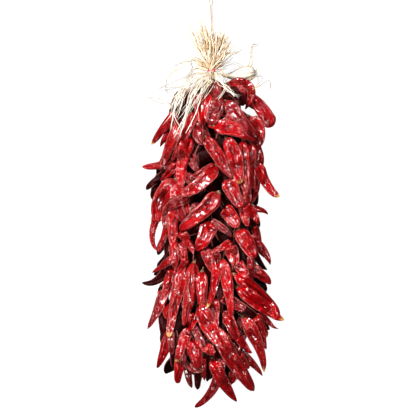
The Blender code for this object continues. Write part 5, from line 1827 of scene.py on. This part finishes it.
@dataclass
class Garlic:
    """The garlic bulb with its stalk and its roots."""

    rings: int = 72
    sides: int = 108
    widest: float = 2.1
    foot: Point = (11.35, 37.9, 2.1)         # the middle of the roots
    foot_half: float = 0.55
    root_count: int = 34
    root_points: int = 8
    root_half: float = 0.035
    root_sides: int = 5
    finish: GarlicPaper = GarlicPaper()
    root_finish: TwoShades = ROOT_STRAW

    def bulb(self) -> bpy.types.Object:
        """Makes the bulb with its stalk.

        Returns:
            The piece.
        """
        rows = smooth_line(np.array(GARLIC), self.rings)
        lines = LineSet()
        along = np.linspace(0.0, 1.0, len(rows))
        end = np.sqrt(np.clip(1.0 - np.clip((along - 0.97) / 0.031, 0.0, 1.0) ** 2, 0.02, 1.0))
        lines.add(rows[:, :3], half=CM * rows[:, 3] * end, roll=0.3, along=along,
                  swell=rows[:, 3] / self.widest)
        return GarlicSweep("garlic", self.sides).run("garlic", lines, self.finish.material(),
                                                     ("skin", "crease", "along"))

    def roots(self) -> bpy.types.Object:
        """Makes the roots.

        Returns:
            All of them as one piece.
        """
        rng = random.Random(SEED + 6)
        lines = LineSet()
        x, y, z = self.foot
        for _ in range(self.root_count):
            side, length = disc(rng), rng.uniform(0.5, 1.3)
            t = np.linspace(0.0, 1.0, self.root_points)[:, None]
            start = np.array((x, y + side[0] * self.foot_half, z + side[1] * self.foot_half))
            out = np.array((0.8, side[0] * 0.9, side[1] * 0.7 + 0.1))
            sag = np.array((0.0, rng.uniform(-0.5, 0.5), rng.uniform(-0.8, 0.1)))
            lines.add(start + out * length * t + sag * t * t, half=CM * self.root_half, roll=0.0)
        return Sweep("roots", self.root_sides).run("garlic_roots", lines, self.root_finish.material())

    def build(self) -> list[bpy.types.Object]:
        """Makes the bulb and the roots."""
        return [self.bulb(), self.roots()]


@dataclass
class HangingLoop:
    """The twine loop that the string hangs by: plies laid round one another."""

    points: int = 420
    plies: int = 3
    ply_turn: float = 0.85       # how long one turn of a ply is
    ply_share: float = 4.31      # the twine's width over a ply's half-width
    sides: int = 9
    finish: TwoShades = TWINE_BROWN

    def build(self) -> bpy.types.Object:
        """Lays the plies along the twine's route.

        Returns:
            The loop.
        """
        middle = smooth_line(np.array(LOOP_ROUTE), self.points)
        along = arc_length(middle)
        ahead = np.gradient(middle, axis=0)
        ahead /= np.linalg.norm(ahead, axis=1)[:, None]
        side = np.cross(ahead, (0.0, 0.0, 1.0))
        side /= np.linalg.norm(side, axis=1)[:, None]
        upward = np.cross(side, ahead)
        lines = LineSet()
        ply = TWINE / self.ply_share
        for index in range(self.plies):
            angle = (math.tau * (along / self.ply_turn + index / self.plies))[:, None]
            outward = side * np.cos(angle) + upward * np.sin(angle)
            lines.add(middle + outward * (TWINE / 2.0 - ply), half=CM * ply, roll=0.0)
        twine = Sweep("twine", self.sides).run("hanging_twine", lines, self.finish.material())
        places = (middle * CM).tolist()
        return twine


# ---------------------------------------------------------------- the studio


@dataclass
class Studio:
    """The floor, the lamps and the camera over the string."""

    middle: Point = (-0.0081, 0.0027, 0.12)      # what the camera looks at
    span: float = 1.134          # how much of the plane through middle the frame takes in
    lens: float = 300.0          # in millimetres
    sensor: float = 36.0
    floor_size: float = 14.0
    backdrop_strength: float = 0.03

    def camera(self) -> None:
        """Puts the camera straight over the string."""
        lens = bpy.data.cameras.new("camera")
        lens.lens, lens.sensor_width = self.lens, self.sensor
        camera = new_object("camera", lens)
        x, y, z = self.middle
        camera.location = (x, y, z + self.span * self.lens / self.sensor)
        bpy.context.scene.camera = camera

    def floor(self) -> None:
        """A wide pale sheet."""
        bm = bmesh.new()
        bmesh.ops.create_grid(bm, x_segments=1, y_segments=1, size=self.floor_size / 2.0)
        mesh = bpy.data.meshes.new("floor")
        bm.to_mesh(mesh)
        bm.free()
        floor = new_object("floor", mesh)
        mesh.materials.append(PaleSheet().material())
        floor.visible_diffuse = floor.visible_glossy = False

    def lamp(self, name: str, place: Point, aim: Point, size: float, power: float) -> None:
        """Hangs a soft lamp of a warm white.

        Args:
            name: Its name.
            place: Where it is, in metres.
            aim: What it points at.
            size: Its width.
            power: Its power in watts.
        """
        data = bpy.data.lights.new(name, "AREA")
        data.shape, data.size, data.energy, data.color = "DISK", size, power, (1.0, 0.98, 0.96)
        lamp = new_object(name, data)
        lamp.location = place
        lamp.rotation_euler = (Vector(place) - Vector(aim)).to_track_quat("Z", "Y").to_euler()

    def build(self) -> None:
        """Makes the studio."""
        self.camera()
        self.floor()
        self.lamp("key", (-2.3, 2.9, 3.8), (0.0, -0.1, 0.1), 1.10, 790.0)
        self.lamp("side", (1.5, -0.1, 3.2), (0.0, -0.1, 0.1), 0.5, 82.0)
        self.lamp("fill", (-0.3, -1.9, 1.7), (0.0, -0.4, 0.1), 0.35, 36.0)
        world = bpy.data.worlds.new("studio")
        world.use_nodes = True
        backdrop = world.node_tree.nodes["Background"]
        backdrop.inputs["Color"].default_value = (1.0, 1.0, 1.0, 1.0)
        backdrop.inputs["Strength"].default_value = self.backdrop_strength
        bpy.context.scene.world = world
        bpy.context.scene.view_settings.view_transform = "Standard"


# ---------------------------------------------------------------- all together


def hand_over(piece: bpy.types.Object, slot: str, *nodes: str) -> None:
    """Puts a finished piece on the body in place of its solids, and logs the slot that it is meant for.

    Args:
        piece: The piece.
        slot: The record's material slot, which is only logged.
        *nodes: The solids that it stands for.
    """
    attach(piece, BODY_NAME)
    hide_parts(*nodes)
    LOG.info("%s: %d faces, in the slot %s", piece.name, len(piece.data.polygons), slot)


def ground_of(pieces: Sequence[bpy.types.Object]) -> BVHTree:
    """Puts the pieces' surfaces together, to lay things on.

    Args:
        pieces: The pieces.

    Returns:
        All their faces as one tree.
    """
    places, faces = [], []
    for piece in pieces:
        start = len(places)
        places += [vertex.co for vertex in piece.data.vertices]
        faces += [[start + corner for corner in face.vertices] for face in piece.data.polygons]
    return BVHTree.FromPolygons(places, faces)


def main() -> None:
    """Builds the string's pieces in order."""
    logging.basicConfig(level=logging.INFO, format="%(name)s: %(message)s")
    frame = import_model()
    LOG.info("frame with %d nodes", len(frame["nodes"]))
    Studio().build()
    front, others = front_pods(), other_pods()
    pods = PodMass().build(front, others)
    for piece in [*pods, Core().build()]:
        hand_over(piece, "chilli_skin", "chilli_bundle")
    hand_over(Stems().build(front[len(between_pods()):] + others), "straw", "chilli_bundle")
    tuft, skirt = Straw(ground_of(pods)).build()
    hand_over(tuft, "straw", "raffia_tuft")
    hand_over(skirt, "straw", "raffia_skirt")
    hand_over(Thread().build(), "thread", "tie_band")
    for piece in Garlic().build():
        hand_over(piece, "garlic_skin", "garlic_bulb")
    hand_over(HangingLoop().build(), "twine", "hanging_loop")


if __name__ == "__main__":
    main()
